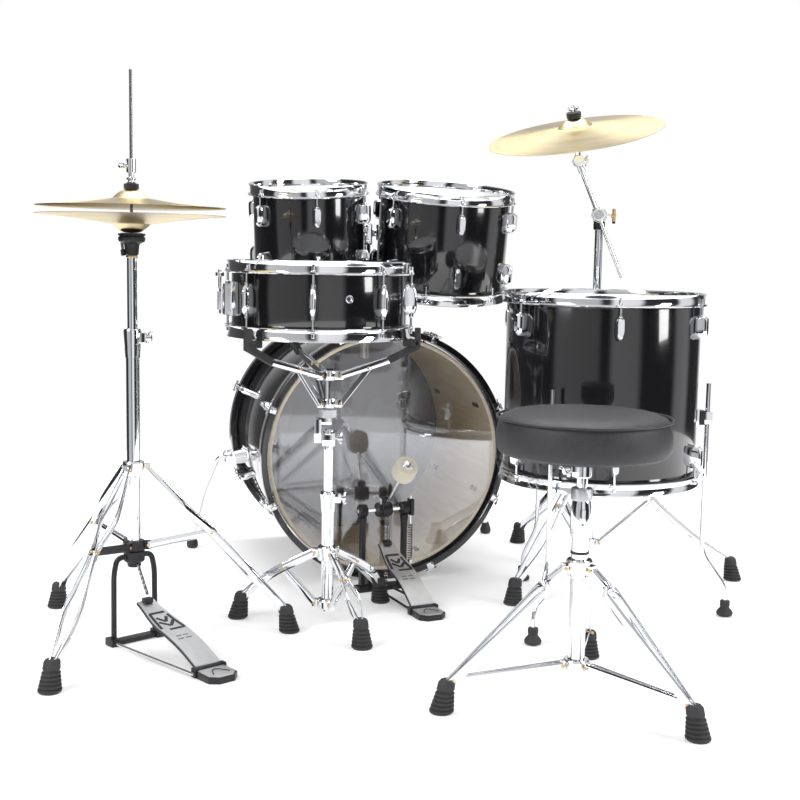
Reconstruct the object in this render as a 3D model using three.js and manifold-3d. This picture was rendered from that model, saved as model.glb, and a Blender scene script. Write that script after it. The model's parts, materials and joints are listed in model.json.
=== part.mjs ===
// A five-piece acoustic drum kit with hi-hat, crash, snare stand, bass pedal and throne.
// Millimetres, +Z up, the floor at Z = 0. The drummer sits at -Y and faces +Y.
import * as THREE from 'three';
import { mergeVertices } from 'three/addons/utils/BufferGeometryUtils.js';
import Module from 'manifold-3d';

// ---- driving dimensions ----
const GAP = 0.3;                    // between pieces that touch
const DRUM_SIDES = 24;              // facets round a drum
const TUBE_SIDES = 10;              // facets round a stand's tube

const SHELL_WALL = 7;
const HEAD_THICK = 2;
const HOOP_RISE = 18;               // how far a flanged hoop stands past its shell
const HOOP_INNER = 4.3;             // flanged hoop's clearance outside the shell
const ROD_RADIUS = 2.6;
// A lug stands out of its shell by its reach, and drop is how far it starts below the shell's end.
const LUG = { width: 20, reach: 23, length: 50, drop: 24, snareHalf: 34 };

const SMALL_TOM = {
  radius: 127, depth: 203, lugs: 6, firstLug: -78, at: [-261, 245, 806], tilt: [7.5, -1],
};
const MIDDLE_TOM = {
  radius: 152.5, depth: 216, lugs: 6, firstLug: -78, at: [48, 311, 797.4], tilt: [8.5, 3],
};
const FLOOR_TOM = {
  radius: 203, depth: 364, lugs: 6, firstLug: -90, at: [382, -15, 495], tilt: [0, 0],
};
const SNARE = {
  radius: 178, depth: 118, lugs: 8, firstLug: -90, at: [-213, -107, 672.5], tilt: [0, 0],
};
const STRAINER_ANGLE = 22.5;        // the strainer's heading from -X
const BASS = {
  radius: 279.5, length: 495, lugs: 8, hoopRadius: 297, hoopWall: 13.5, hoopWidth: 40,
  headSet: 19, at: [-73, 223], heading: 16.3,
};
const SPUR = { along: 323, height: 254, reach: 404, footAlong: 415 };
const TOM_POST = { at: [-134, 396], radius: 11, foot: 510, top: 838, block: [794, 838], width: 30, arm: 816 };

const FLOOR_LEG = {
  angles: [-123, -3, 117], rodRadius: 5, ring: 228, foot: 284, top: 505, clamp: [416, 448],
};

const HIHAT = {
  at: [-560, -272], rodTop: 1101, cymbalRadius: 178, cymbalRise: 33, topEdge: 846, gap: 15.5,
  cup: [755, 796], clamp: [565, 615], tubeFoot: 204, innerFoot: 430,
};
const HIHAT_LEGS = {
  feet: [-106, 14, 134], hub: 345, collar: 192, strutAt: [150, 212],
  path: [[24, 345, 5], [92, 268, 15], [150, 214, 5], [226, 128, 15], [300, 44, 4]],
};
const CRASH = {
  at: [418, 313], clamp: 865, boomY: -24, tilter: [359.7, 988], boomEnd: [472, 719],
  cymbal: [350.6, 273, 1047], cymbalRadius: 203, cymbalRise: 38, lean: [15, 10],
};
const CRASH_LEGS = {
  feet: [113.8, -126.2, -6.2], hub: 300, collar: 78, strutAt: [147, 190],
  path: [[24, 300, 5], [147, 190, 8], [240, 108, 13], [340, 44, 4]],
};
const THRONE = { at: [268, -564], seatRadius: 151, seat: [434, 508], clamp: [297, 377] };
const THRONE_LEGS = {
  feet: [-164, -44, 76], hub: 238, collar: 66, strutAt: [226, 54],
  path: [[24, 238, 4], [58, 212, 4], [74, 194, 14], [236, 44, 3]],
};
const SNARE_STAND = { at: [-190, -123], clamp: 258, hub: 518, lowerHub: 460, knob: 440 };
const SNARE_LEGS = {
  feet: [174.7, -65.3, 54.7], hub: 148, collar: 40, strutAt: [94, 112],
  path: [[24, 148, 4], [94, 112, 6], [140, 82, 12], [182, 44, 4]],
};
const BASKET_ARMS = [-8, 112, 232];

const KICK = { at: [-78, 136], heading: 25.5, shaft: 187, post: 52, toe: [-14, 115] };
const KICK_HEEL = { hinge: -208, end: -268, height: 20 };
const BEATER = { lean: 45, length: 152, radius: 26, thick: 44 };
const HIHAT_PEDAL = { heading: 42.7, hinge: -258, end: -318, toe: [-40, 92], height: 20, post: 45 };

const CHROME = { color: 0xd8dadd, roughness: 0.12, metalness: 1 };
const BLACK_GLOSS = { color: 0x101012, roughness: 0.12, metalness: 0.1 };
const BLACK_METAL = { color: 0x17171a, roughness: 0.4, metalness: 0.5 };
const HEAD_FILM = { color: 0xe4e5e6, roughness: 0.35, metalness: 0 };
const CLEAR_FILM = { color: 0xaab0b4, roughness: 0.1, metalness: 0 };
const BRONZE = { color: 0xcdb98a, roughness: 0.28, metalness: 1 };
const ALUMINIUM = { color: 0xb4b6b8, roughness: 0.4, metalness: 0.9 };
const VINYL = { color: 0x17171a, roughness: 0.5, metalness: 0 };

// ---- solids ----
const wasm = await Module();
wasm.setup();

const radians = THREE.MathUtils.degToRad;

function signedVolume(points, triangles) {
  const [a, b, c] = [new THREE.Vector3(), new THREE.Vector3(), new THREE.Vector3()];
  let volume = 0;
  for (let i = 0; i < triangles.length; i += 3) {
    a.fromArray(points, triangles[i] * 3);
    b.fromArray(points, triangles[i + 1] * 3);
    c.fromArray(points, triangles[i + 2] * 3);
    volume += a.dot(b.cross(c)) / 6;
  }
  return volume;
}

// Turns a closed three.js geometry into a manifold solid with its faces pointing out.
function solid(geometry) {
  const bare = geometry.clone();
  bare.deleteAttribute('normal');
  bare.deleteAttribute('uv');
  const merged = mergeVertices(bare, 1e-4);
  const points = new Float32Array(merged.getAttribute('position').array);
  const triangles = [];
  const index = merged.getIndex().array;
  for (let i = 0; i < index.length; i += 3) {
    const [a, b, c] = [index[i], index[i + 1], index[i + 2]];
    if (a !== b && b !== c && c !== a) triangles.push(a, b, c);
  }
  if (signedVolume(points, triangles) < 0) triangles.reverse();
  const mesh = { numProp: 3, vertProperties: points, triVerts: new Uint32Array(triangles) };
  return new wasm.Manifold(new wasm.Mesh(mesh));
}

function geometryOf(manifold) {
  const mesh = manifold.getMesh();
  const geometry = new THREE.BufferGeometry();
  geometry.setAttribute('position', new THREE.BufferAttribute(new Float32Array(mesh.vertProperties), 3));
  geometry.setIndex(new THREE.BufferAttribute(new Uint32Array(mesh.triVerts), 1));
  geometry.computeVertexNormals();
  return geometry;
}

function fuse(...pieces) {
  return geometryOf(pieces.map(solid).reduce((whole, piece) => whole.add(piece)));
}

function cut(base, ...tools) {
  return geometryOf(tools.map(solid).reduce((rest, tool) => rest.subtract(tool), solid(base)));
}

function common(first, second) {
  return geometryOf(solid(first).intersect(solid(second)));
}

// A body of revolution about Z. A ring's profile is closed; a disc's starts and ends on the axis.
function turned(profile, sides, closed = false) {
  const outline = closed ? [...profile, profile[0]] : profile;
  const points = outline.map(([radius, height]) => new THREE.Vector2(radius, height));
  return new THREE.LatheGeometry(points, sides).rotateX(Math.PI / 2);
}

function pipe(inner, outer, low, high, sides = TUBE_SIDES) {
  return turned([[inner, low], [outer, low], [outer, high], [inner, high]], sides, true);
}

function disc(radius, low, high, sides = TUBE_SIDES) {
  const plug = new THREE.CylinderGeometry(radius, radius, high - low, sides).rotateX(Math.PI / 2);
  return plug.translate(0, 0, (low + high) / 2);
}

function block(x0, x1, y0, y1, z0, z1) {
  const box = new THREE.BoxGeometry(x1 - x0, y1 - y0, z1 - z0);
  return box.translate((x0 + x1) / 2, (y0 + y1) / 2, (z0 + z1) / 2);
}

function rod(from, to, radius, sides = 8, endRadius = radius) {
  const start = new THREE.Vector3(...from);
  const end = new THREE.Vector3(...to);
  const along = end.clone().sub(start);
  const geometry = new THREE.CylinderGeometry(endRadius, radius, along.length(), sides);
  const turn = new THREE.Quaternion();
  turn.setFromUnitVectors(new THREE.Vector3(0, 1, 0), along.clone().normalize());
  geometry.applyQuaternion(turn);
  const middle = start.add(end).multiplyScalar(0.5);
  return geometry.translate(middle.x, middle.y, middle.z);
}

// A flat bar from one point to another, standing on edge.
function strip(from, to, height, thickness) {
  const start = new THREE.Vector3(...from);
  const end = new THREE.Vector3(...to);
  const along = end.clone().sub(start);
  const length = along.length();
  along.normalize();
  const side = new THREE.Vector3(0, 0, 1).cross(along).normalize();
  const up = along.clone().cross(side);
  const bar = new THREE.BoxGeometry(length, thickness, height);
  bar.applyMatrix4(new THREE.Matrix4().makeBasis(along, side, up));
  const middle = start.add(end).multiplyScalar(0.5);
  return bar.translate(middle.x, middle.y, middle.z);
}

// A round bar bent through a chain of points.
function bentRod(points, radius, steps = 10, sides = 6) {
  const corners = points.map((point) => new THREE.Vector3(...point));
  const route = new THREE.CatmullRomCurve3(corners, false, 'catmullrom', 0.2);
  const section = Array.from({ length: sides }, (_, k) => {
    const turn = (2 * Math.PI * k) / sides;
    return new THREE.Vector2(radius * Math.cos(turn), radius * Math.sin(turn));
  });
  const settings = { steps, extrudePath: route, bevelEnabled: false };
  return new THREE.ExtrudeGeometry(new THREE.Shape(section), settings);
}

// Stands an outline drawn in (forward, up) on its edge, centred on X = 0.
function upright(outline, width) {
  const shape = new THREE.Shape(outline.map(([forward, up]) => new THREE.Vector2(forward, up)));
  const side = new THREE.ExtrudeGeometry(shape, { depth: width, bevelEnabled: false });
  const [x, y, z] = [new THREE.Vector3(1, 0, 0), new THREE.Vector3(0, 1, 0), new THREE.Vector3(0, 0, 1)];
  return side.applyMatrix4(new THREE.Matrix4().makeBasis(y, z, x)).translate(-width / 2, 0, 0);
}

// One of a leg's two plates. Its stations are (radius, height, spread); the plate leans sideways
// from station to station by the spread. It runs out along +X.
function legPlate(stations, side, height, thickness) {
  const half = height / 2;
  const tops = [];
  const bottoms = [];
  stations.forEach(([radius, level], i) => {
    const before = stations[Math.max(i - 1, 0)];
    const after = stations[Math.min(i + 1, stations.length - 1)];
    const slope = new THREE.Vector2(after[0] - before[0], after[1] - before[1]).normalize();
    tops.push([radius - slope.y * half, level + slope.x * half]);
    bottoms.push([radius + slope.y * half, level - slope.x * half]);
  });
  const plate = upright([...tops, ...bottoms.reverse()], thickness).rotateZ(-Math.PI / 2);
  const places = plate.getAttribute('position');
  for (let i = 0; i < places.count; i += 1) {
    places.setY(i, places.getY(i) + side * spreadAt(stations, places.getX(i)));
  }
  return plate;
}

function spreadAt(stations, radius) {
  for (let i = 1; i < stations.length; i += 1) {
    const [r0, , s0] = stations[i - 1];
    const [r1, , s1] = stations[i];
    if (radius <= r1) return THREE.MathUtils.lerp(s0, s1, Math.max((radius - r0) / (r1 - r0), 0));
  }
  return stations[stations.length - 1][2];
}

function polar(radius, degrees, height) {
  return [radius * Math.cos(radians(degrees)), radius * Math.sin(radians(degrees)), height];
}

function mesh(name, geometry, look) {
  const node = new THREE.Mesh(geometryOf(solid(geometry)), new THREE.MeshStandardMaterial(look));
  node.name = name;
  return node;
}

function groupAt(at, headingDegrees = 0) {
  const group = new THREE.Group();
  group.position.set(at[0], at[1], at[2] ?? 0);
  group.rotation.z = radians(headingDegrees);
  return group;
}

// ---- drums with flanged hoops ----
// Local frame: the drum's axis is Z and the shell's middle is the origin.
function lugAngles(drum) {
  return Array.from({ length: drum.lugs }, (_, k) => drum.firstLug + (360 / drum.lugs) * k);
}

function flangedHoop(drum, lugTop) {
  const { radius, depth } = drum;
  const edge = depth / 2;
  const inner = radius + HOOP_INNER;
  const profile = [[inner, edge - 7], [radius + 14, edge - 7], [radius + 8, edge + HOOP_RISE]];
  profile.push([inner, edge + HOOP_RISE]);
  const rods = lugAngles(drum).map((angle) => {
    const [x, y] = polar(radius + 9, angle, 0);
    return rod([x, y, lugTop + GAP], [x, y, edge - 4], ROD_RADIUS, 4);
  });
  return fuse(turned(profile, DRUM_SIDES, true), ...rods);
}

function lugBlock(radius, angle, low, high) {
  const lug = block(radius - 5, radius + LUG.reach, -LUG.width / 2, LUG.width / 2, low, high);
  return lug.rotateZ(radians(angle));
}

function flip(geometry) {
  return geometry.clone().rotateX(Math.PI);
}

function flangedDrum(name, drum, extras = []) {
  const { radius, depth, at, tilt } = drum;
  const edge = depth / 2;
  const doubleEnded = name === 'snare';
  const lugTop = doubleEnded ? LUG.snareHalf : edge - LUG.drop;
  const lugs = [];
  for (const angle of lugAngles(drum)) {
    if (doubleEnded) {
      lugs.push(lugBlock(radius, angle, -lugTop, lugTop));
    } else {
      lugs.push(lugBlock(radius, angle, lugTop - LUG.length, lugTop));
      lugs.push(lugBlock(radius, angle, -lugTop, LUG.length - lugTop));
    }
  }
  const wall = pipe(radius - SHELL_WALL, radius, -edge, edge, DRUM_SIDES);
  const hoop = flangedHoop(drum, lugTop);
  const head = disc(radius + HOOP_INNER - GAP, edge + GAP, edge + GAP + HEAD_THICK, DRUM_SIDES);
  const group = new THREE.Group();
  group.position.set(...at);
  group.rotation.set(radians(tilt[0]), radians(tilt[1]), 0);
  group.add(mesh(`${name}_shell`, fuse(wall, ...lugs, ...extras), BLACK_GLOSS));
  group.add(mesh(`${name}_batter_head`, head, HEAD_FILM));
  group.add(mesh(`${name}_resonant_head`, flip(head), HEAD_FILM));
  group.add(mesh(`${name}_batter_hoop`, hoop, CHROME));
  group.add(mesh(`${name}_resonant_hoop`, flip(hoop), CHROME));
  return group;
}

// ---- bass drum ----
// Local frame: X to the drummer's right, Y along the drum to the front, Z up from the floor.
function bassDrum() {
  const { radius, length, hoopRadius, hoopWall, hoopWidth, headSet } = BASS;
  const drumGroup = groupAt(BASS.at, BASS.heading);
  const round = new THREE.Group();
  round.position.set(0, length / 2, hoopRadius);
  round.rotation.x = -Math.PI / 2;
  const middle = length / 2;
  const edge = middle - headSet;
  const clawAngles = Array.from({ length: BASS.lugs }, (_, k) => 22.5 + 45 * k);
  const lugs = [];
  const claws = [];
  for (const angle of clawAngles) {
    for (const end of [-1, 1]) {
      const [near, far] = [edge - 98, edge - 52];
      const lug = block(radius - 6, radius + 29, -8, 8, Math.min(end * near, end * far),
        Math.max(end * near, end * far));
      lugs.push(lug.rotateZ(radians(angle)));
    }
    const claw = block(hoopRadius - 6, hoopRadius + 12, -8, 8, -middle + 1, -middle + 26);
    claws.push(claw.rotateZ(radians(angle)));
    const [x, y] = polar(hoopRadius + 6, angle, 0);
    claws.push(rod([x, y, -middle + 14], [x, y, -edge + 52 - GAP], 3.2, 4));
  }
  const wall = pipe(radius - SHELL_WALL, radius, -edge, edge, DRUM_SIDES);
  const bracketSpots = [-1, 1].map((side) => {
    const spot = block(radius - 6, radius + 34, -22, 22, -26, 26);
    spot.rotateZ(side > 0 ? Math.asin((hoopRadius - SPUR.height) / radius)
      : Math.PI - Math.asin((hoopRadius - SPUR.height) / radius));
    return spot.translate(0, 0, SPUR.along - middle);
  });
  const postBase = block(-24, 24, -radius - 14, -radius + 8, -30, 30);
  const postSpot = postInBass();
  const postBore = rod([0, 400 - hoopRadius, 0], [0, -hoopRadius - 60, 0], TOM_POST.radius + 0.6, TUBE_SIDES);
  for (const piece of [postBase, postBore]) piece.translate(postSpot.x, 0, postSpot.y - middle);
  const hoopRing = pipe(hoopRadius - hoopWall, hoopRadius, -middle, -middle + hoopWidth, DRUM_SIDES);
  const hoop = fuse(hoopRing, ...claws);
  const headRadius = hoopRadius - hoopWall - GAP;
  const head = disc(headRadius, -edge - GAP - HEAD_THICK, -edge - GAP, DRUM_SIDES);
  const shell = cut(fuse(wall, ...lugs, ...bracketSpots, postBase), postBore);
  round.add(mesh('bass_shell', shell, BLACK_GLOSS));
  round.add(mesh('bass_batter_head', head, CLEAR_FILM));
  round.add(mesh('bass_resonant_head', flip(head), BLACK_GLOSS));
  round.add(mesh('bass_batter_hoop', hoop, BLACK_GLOSS));
  round.add(mesh('bass_resonant_hoop', flip(hoop), BLACK_GLOSS));
  drumGroup.add(round);
  drumGroup.add(spur('bass_spur_left', -1));
  drumGroup.add(spur('bass_spur_right', 1));
  return drumGroup;
}

// The tom post's spot in the bass drum's own frame.
function postInBass() {
  const offset = new THREE.Vector2(TOM_POST.at[0] - BASS.at[0], TOM_POST.at[1] - BASS.at[1]);
  return offset.rotateAround(new THREE.Vector2(), -radians(BASS.heading));
}

function spur(name, side) {
  const root = BASS.radius + 36 + GAP;
  const points = [
    [side * root, SPUR.along, SPUR.height],
    [side * (root + 32), SPUR.along + 6, SPUR.height - 4],
    [side * (SPUR.reach - 26), SPUR.footAlong - 26, 150],
    [side * SPUR.reach, SPUR.footAlong, 24],
  ];
  const hub = rod([side * root, SPUR.along, SPUR.height], [side * (root + 14), SPUR.along, SPUR.height], 17, 10);
  const foot = rod([side * SPUR.reach, SPUR.footAlong, 0], [side * SPUR.reach, SPUR.footAlong, 32], 15, 10, 9);
  return mesh(name, fuse(bentRod(points, 6), hub, foot), CHROME);
}

// ---- tom holder ----
function tomHolder() {
  const [x, y] = TOM_POST.at;
  const group = groupAt([x, y, 0]);
  const post = disc(TOM_POST.radius, TOM_POST.foot, TOM_POST.top);
  const half = TOM_POST.width / 2;
  const head = block(-half, half, -17, 17, TOM_POST.block[0], TOM_POST.block[1]);
  group.add(mesh('tom_holder_post', fuse(post, head), CHROME));
  return group;
}

// An arm from the post's side to a plate on the tom's shell.
function tomArm(name, drum, side) {
  const post = new THREE.Vector3(...TOM_POST.at, TOM_POST.arm);
  const centre = new THREE.Vector3(drum.at[0], drum.at[1], TOM_POST.arm);
  const across = centre.clone().sub(post);
  const reach = across.length();
  across.normalize();
  const plate = post.clone().addScaledVector(across, reach - drum.radius - 9);
  const plateBox = block(-6, 6, -18, 18, -20, 20);
  plateBox.rotateZ(Math.atan2(across.y, across.x)).translate(...plate);
  const root = [post.x + side * (TOM_POST.width / 2 + GAP), post.y - 4, post.z];
  const knee = [root[0] + side * 11, root[1], post.z];
  const ball = rod(root, knee, 12, 8);
  const arm = rod(knee, plate.toArray(), 7, 8);
  return mesh(name, fuse(ball, arm, plateBox), CHROME);
}

// ---- tripod stands ----
// One tripod: the sliding leg collar, double-braced legs, struts, lower collar and rubber feet.
function tripod(name, legs, tubeRadius, look = CHROME) {
  const bore = tubeRadius + GAP;
  const pieces = [
    pipe(bore, bore + 12, legs.hub - 16, legs.hub + 14),
    pipe(bore, bore + 12, legs.collar - 10, legs.collar + 10),
  ];
  for (const degrees of legs.feet) {
    const [footRadius] = legs.path[legs.path.length - 1];
    const [strutRadius, strutHeight] = legs.strutAt;
    const strutWidth = 2 * spreadAt(legs.path, strutRadius) + 2;
    const leg = [
      legPlate(legs.path, -1, 17, 3),
      legPlate(legs.path, 1, 17, 3),
      strip([tubeRadius + 8, 0, legs.collar], [strutRadius, 0, strutHeight], 15, strutWidth),
      block(tubeRadius + 6, 32, -6, 6, legs.hub - 10, legs.hub + 8),
      rod([footRadius + 8, 0, 0], [footRadius, 0, 56], 21, 8, 13),
    ];
    for (const piece of leg) pieces.push(piece.rotateZ(radians(degrees)));
  }
  const floor = block(-500, 500, -500, 500, -60, 0);
  return mesh(name, cut(fuse(...pieces), floor), look);
}

// ---- hi-hat ----
function cymbal(radius, rise, hole) {
  const thick = 1.8;
  const top = [[hole, rise], [0.12 * radius, rise], [0.24 * radius, rise * 0.52]];
  top.push([0.66 * radius, rise * 0.24], [radius, 0]);
  const under = top.map(([r, z]) => [r, z - thick]).reverse();
  return turned([...top, ...under], DRUM_SIDES, true);
}

// A pedal board: a shallow S seen from the side, narrower at the toe seen from above.
function footboard(hinge, hingeHeight, toe, heelWidth, toeWidth) {
  const [toeY, toeZ] = toe;
  const run = toeY - hinge;
  const rise = toeZ - hingeHeight;
  const curve = [[0, 0], [0.25, 0.3], [0.5, 0.63], [0.75, 0.86], [1, 1]];
  const top = curve.map(([u, v]) => [hinge + u * run, hingeHeight + v * rise]);
  const under = top.map(([forward, up]) => [forward, up - 7]).reverse();
  const half = heelWidth / 2;
  const waist = hinge + 0.62 * run;
  const outline = [[-half, hinge], [half, hinge], [half, waist], [toeWidth / 2, toeY]];
  outline.push([-toeWidth / 2, toeY], [-half, waist]);
  const plan = new THREE.Shape(outline.map(([x, y]) => new THREE.Vector2(x, y)));
  const prism = new THREE.ExtrudeGeometry(plan, { depth: 300, bevelEnabled: false });
  return common(upright([...top, ...under], heelWidth), prism.translate(0, 0, -50));
}

function hiHat() {
  const group = groupAt(HIHAT.at);
  const lowerTube = pipe(9.9, 12.7, HIHAT.tubeFoot - 12, HIHAT.clamp[0]);
  const clampRing = pipe(9.9, 17, HIHAT.clamp[0] - 5, HIHAT.clamp[1]);
  const wing = block(15, 44, -4, 4, 582, 598);
  group.add(mesh('hihat_lower_tube', fuse(lowerTube, clampRing, wing), CHROME));
  group.add(tripod('hihat_tripod', HIHAT_LEGS, 12.7));
  const upperTube = pipe(5.2, 9.5, HIHAT.innerFoot, HIHAT.cup[0] + 4);
  const cup = turned([[5.2, 755], [13, 755], [16, 778], [26, 784], [26, 796], [5.2, 796]], 12, true);
  group.add(mesh('hihat_upper_tube', fuse(upperTube, cup), CHROME));
  const pull = disc(3, 150, HIHAT.rodTop, 8);
  const chain = rod([0, 0, 152], [0, HIHAT_PEDAL.toe[0] - 8, HIHAT_PEDAL.toe[1] + 7], 4, 6);
  chain.rotateZ(radians(HIHAT_PEDAL.heading));
  group.add(mesh('hihat_pull_rod', fuse(pull, chain), CHROME));
  const edge = HIHAT.topEdge;
  const crown = edge + HIHAT.cymbalRise;
  const topCymbal = cymbal(HIHAT.cymbalRadius, HIHAT.cymbalRise, 7.5).translate(0, 0, edge);
  group.add(mesh('hihat_top_cymbal', topCymbal, BRONZE));
  const bottomCymbal = cymbal(HIHAT.cymbalRadius, HIHAT.cymbalRise, 9).rotateX(Math.PI);
  group.add(mesh('hihat_bottom_cymbal', bottomCymbal.translate(0, 0, edge - HIHAT.gap), BRONZE));
  const spool = [[3.3, crown - 14], [14, crown - 14], [14, crown - 1.8 - GAP], [6.8, crown - 1.8 - GAP]];
  spool.push([6.8, crown + GAP], [14, crown + GAP], [14, crown + 12], [7, crown + 12], [7, 910]);
  spool.push([9, 910], [9, 936], [3.3, 936]);
  const clutch = fuse(turned(spool, 8, true), block(-36, -8, -3, 3, 922, 930));
  group.add(mesh('hihat_clutch', clutch, CHROME));
  group.add(hiHatPedal());
  return group;
}

function hiHatPedal() {
  const { hinge, end, toe, height, post } = HIHAT_PEDAL;
  const group = groupAt([0, 0, 0], HIHAT_PEDAL.heading);
  const hub = pipe(8, 21, 160, 181.5);
  const pieces = [hub, block(-60, 60, -14, 12, 0, 12)];
  for (const side of [-1, 1]) {
    const arch = [[side * 14, 0, 170], [side * (post - 6), 0, 162], [side * post, 0, 140], [side * post, 0, 6]];
    pieces.push(bentRod(arch, 5.5, 8));
    pieces.push(rod([side * 50, -6, 8], [side * 34, hinge - 6, 9], 3, 6));
  }
  pieces.push(block(-37, 37, end, hinge - 4, 0, height - 6));
  pieces.push(block(-37, -29, hinge - 8, hinge + 4, 0, height - 6));
  pieces.push(block(29, 37, hinge - 8, hinge + 4, 0, height - 6));
  group.add(mesh('hihat_pedal_frame', fuse(...pieces), BLACK_METAL));
  group.add(mesh('hihat_footboard', footboard(hinge, height, toe, 56, 40), ALUMINIUM));
  return group;
}

// ---- crash stand ----
function crashStand() {
  const group = groupAt(CRASH.at);
  const lowerTube = pipe(9.9, 12.7, 58, 600);
  const clampRing = pipe(9.9, 17, 590, 640);
  group.add(mesh('crash_lower_tube', fuse(lowerTube, clampRing, block(15, 44, -4, 4, 608, 624)), CHROME));
  group.add(tripod('crash_tripod', CRASH_LEGS, 12.7));
  const boomY = CRASH.boomY;
  const upperTube = disc(9.5, 440, CRASH.clamp);
  const head = block(-17, 17, -11, 12, CRASH.clamp - 24, CRASH.clamp + 16);
  group.add(mesh('crash_upper_tube', fuse(upperTube, head), CHROME));
  const tilter = new THREE.Vector3(CRASH.tilter[0] - CRASH.at[0], boomY, CRASH.tilter[1]);
  const low = [CRASH.boomEnd[0] - CRASH.at[0], boomY, CRASH.boomEnd[1]];
  const pivotX = low[0] + (tilter.x - low[0]) * ((CRASH.clamp - low[2]) / (tilter.z - low[2]));
  const pivot = rod([pivotX, boomY - 14, CRASH.clamp], [pivotX, -11 - GAP, CRASH.clamp], 15, 12);
  const screw = block(pivotX + 12, pivotX + 44, boomY - 3, boomY + 3, CRASH.clamp - 3, CRASH.clamp + 3);
  const boom = rod(low, tilter.toArray(), 5, 8);
  const { cymbalRise: rise, cymbalRadius } = CRASH;
  const lean = new THREE.Matrix4().makeRotationFromEuler(
    new THREE.Euler(radians(CRASH.lean[0]), radians(-CRASH.lean[1]), 0),
  );
  const centre = new THREE.Vector3(...CRASH.cymbal).sub(new THREE.Vector3(...CRASH.at, 0));
  const stem = [[0, -58], [7, -58], [7, rise - 16], [17, rise - 14], [17, rise - 2.2], [4.5, rise - 2.2]];
  stem.push([4.5, rise + 0.4], [17, rise + 0.4], [17, rise + 14], [8, rise + 16], [8, rise + 28], [0, rise + 28]);
  const cymbalStem = turned(stem, 8).applyMatrix4(lean).translate(...centre);
  const knuckle = disc(13, -14, 12, 8).translate(...tilter);
  const stemFoot = new THREE.Vector3(0, 0, -52).applyMatrix4(lean).add(centre);
  const link = rod(tilter.toArray(), stemFoot.toArray(), 7, 8);
  const arm = fuse(boom, pivot, screw, knuckle, link, cymbalStem);
  group.add(mesh('crash_boom_arm', arm, CHROME));
  const plate = cymbal(cymbalRadius, rise, 6).applyMatrix4(lean).translate(...centre);
  group.add(mesh('crash_cymbal', plate, BRONZE));
  return group;
}

// ---- throne ----
function throne() {
  const group = groupAt(THRONE.at);
  const lowerTube = pipe(9.9, 14.5, 50, THRONE.clamp[0]);
  const clampRing = pipe(9.9, 18.5, THRONE.clamp[0] - 8, THRONE.clamp[1]);
  group.add(mesh('throne_lower_tube', fuse(lowerTube, clampRing), CHROME));
  group.add(tripod('throne_tripod', THRONE_LEGS, 14.5));
  const post = disc(9.5, 90, 420);
  const seatClamp = turned([[0, 392], [17, 392], [17, 418], [46, 428], [46, 433], [0, 433]], 12);
  const wing = block(-62, -14, -5, 5, 398, 410);
  group.add(mesh('throne_post', fuse(post, seatClamp, wing), CHROME));
  const { seatRadius, seat } = THRONE;
  const [low, high] = seat;
  const cushion = [[0, low], [seatRadius - 5, low], [seatRadius, low + 8], [seatRadius, high - 16]];
  cushion.push([seatRadius - 8, high - 5], [seatRadius * 0.5, high], [0, high]);
  group.add(mesh('throne_seat', turned(cushion, DRUM_SIDES), VINYL));
  return group;
}

// ---- snare stand ----
function snareStand() {
  const group = groupAt(SNARE_STAND.at);
  const lowerTube = pipe(9.9, 12.7, 24, SNARE_STAND.clamp - 20);
  const clampRing = pipe(9.9, 16.5, SNARE_STAND.clamp - 24, SNARE_STAND.clamp + 18);
  const screw = block(14, 44, -4, 4, SNARE_STAND.clamp - 6, SNARE_STAND.clamp + 8);
  group.add(mesh('snare_stand_lower_tube', fuse(lowerTube, clampRing, screw), CHROME));
  group.add(tripod('snare_stand_tripod', SNARE_LEGS, 12.7));
  const upperTube = disc(9.5, 100, 396);
  const tilterBlock = block(-14, 14, -12, 12, 372, 408);
  const wing = block(12, 40, -4, 4, 384, 396);
  group.add(mesh('snare_stand_upper_tube', fuse(upperTube, tilterBlock, wing), CHROME));
  const { hub, lowerHub, knob } = SNARE_STAND;
  const pieces = [disc(7, 420, hub + 12).translate(-4, 0, 0), disc(21, knob - 8, knob + 9)];
  pieces.push(block(-30, -14 - GAP, -10, 10, 376, 428), block(-30, 6, -8, 8, 416, 430));
  pieces.push(disc(14, lowerHub - 10, lowerHub + 9), disc(14, hub - 10, hub + 10));
  const tip = SNARE.at[2] - SNARE.depth / 2 - HOOP_RISE;
  const reach = SNARE.radius + 18;
  const offset = [SNARE.at[0] - SNARE_STAND.at[0], SNARE.at[1] - SNARE_STAND.at[1]];
  for (const degrees of BASKET_ARMS) {
    const [x, y] = polar(reach, degrees, 0);
    const turn = THREE.MathUtils.radToDeg(Math.atan2(y + offset[1], x + offset[0]));
    const span = Math.hypot(x + offset[0], y + offset[1]);
    const arm = [
      strip([10, 0, hub], [span - 40, 0, tip - 40], 14, 8),
      strip([10, 0, lowerHub], [78, 0, hub + 12], 12, 6),
      strip([span - 46, 0, tip - 41], [span + 10, 0, tip - 12], 15, 14),
      block(span + 1, span + 14, -8, 8, tip - 20, tip + 24),
      block(span - 24, span + 6, -8, 8, tip - 14, tip - GAP),
    ];
    for (const piece of arm) pieces.push(piece.rotateZ(radians(turn)));
  }
  group.add(mesh('snare_stand_basket', fuse(...pieces), CHROME));
  return group;
}

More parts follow.
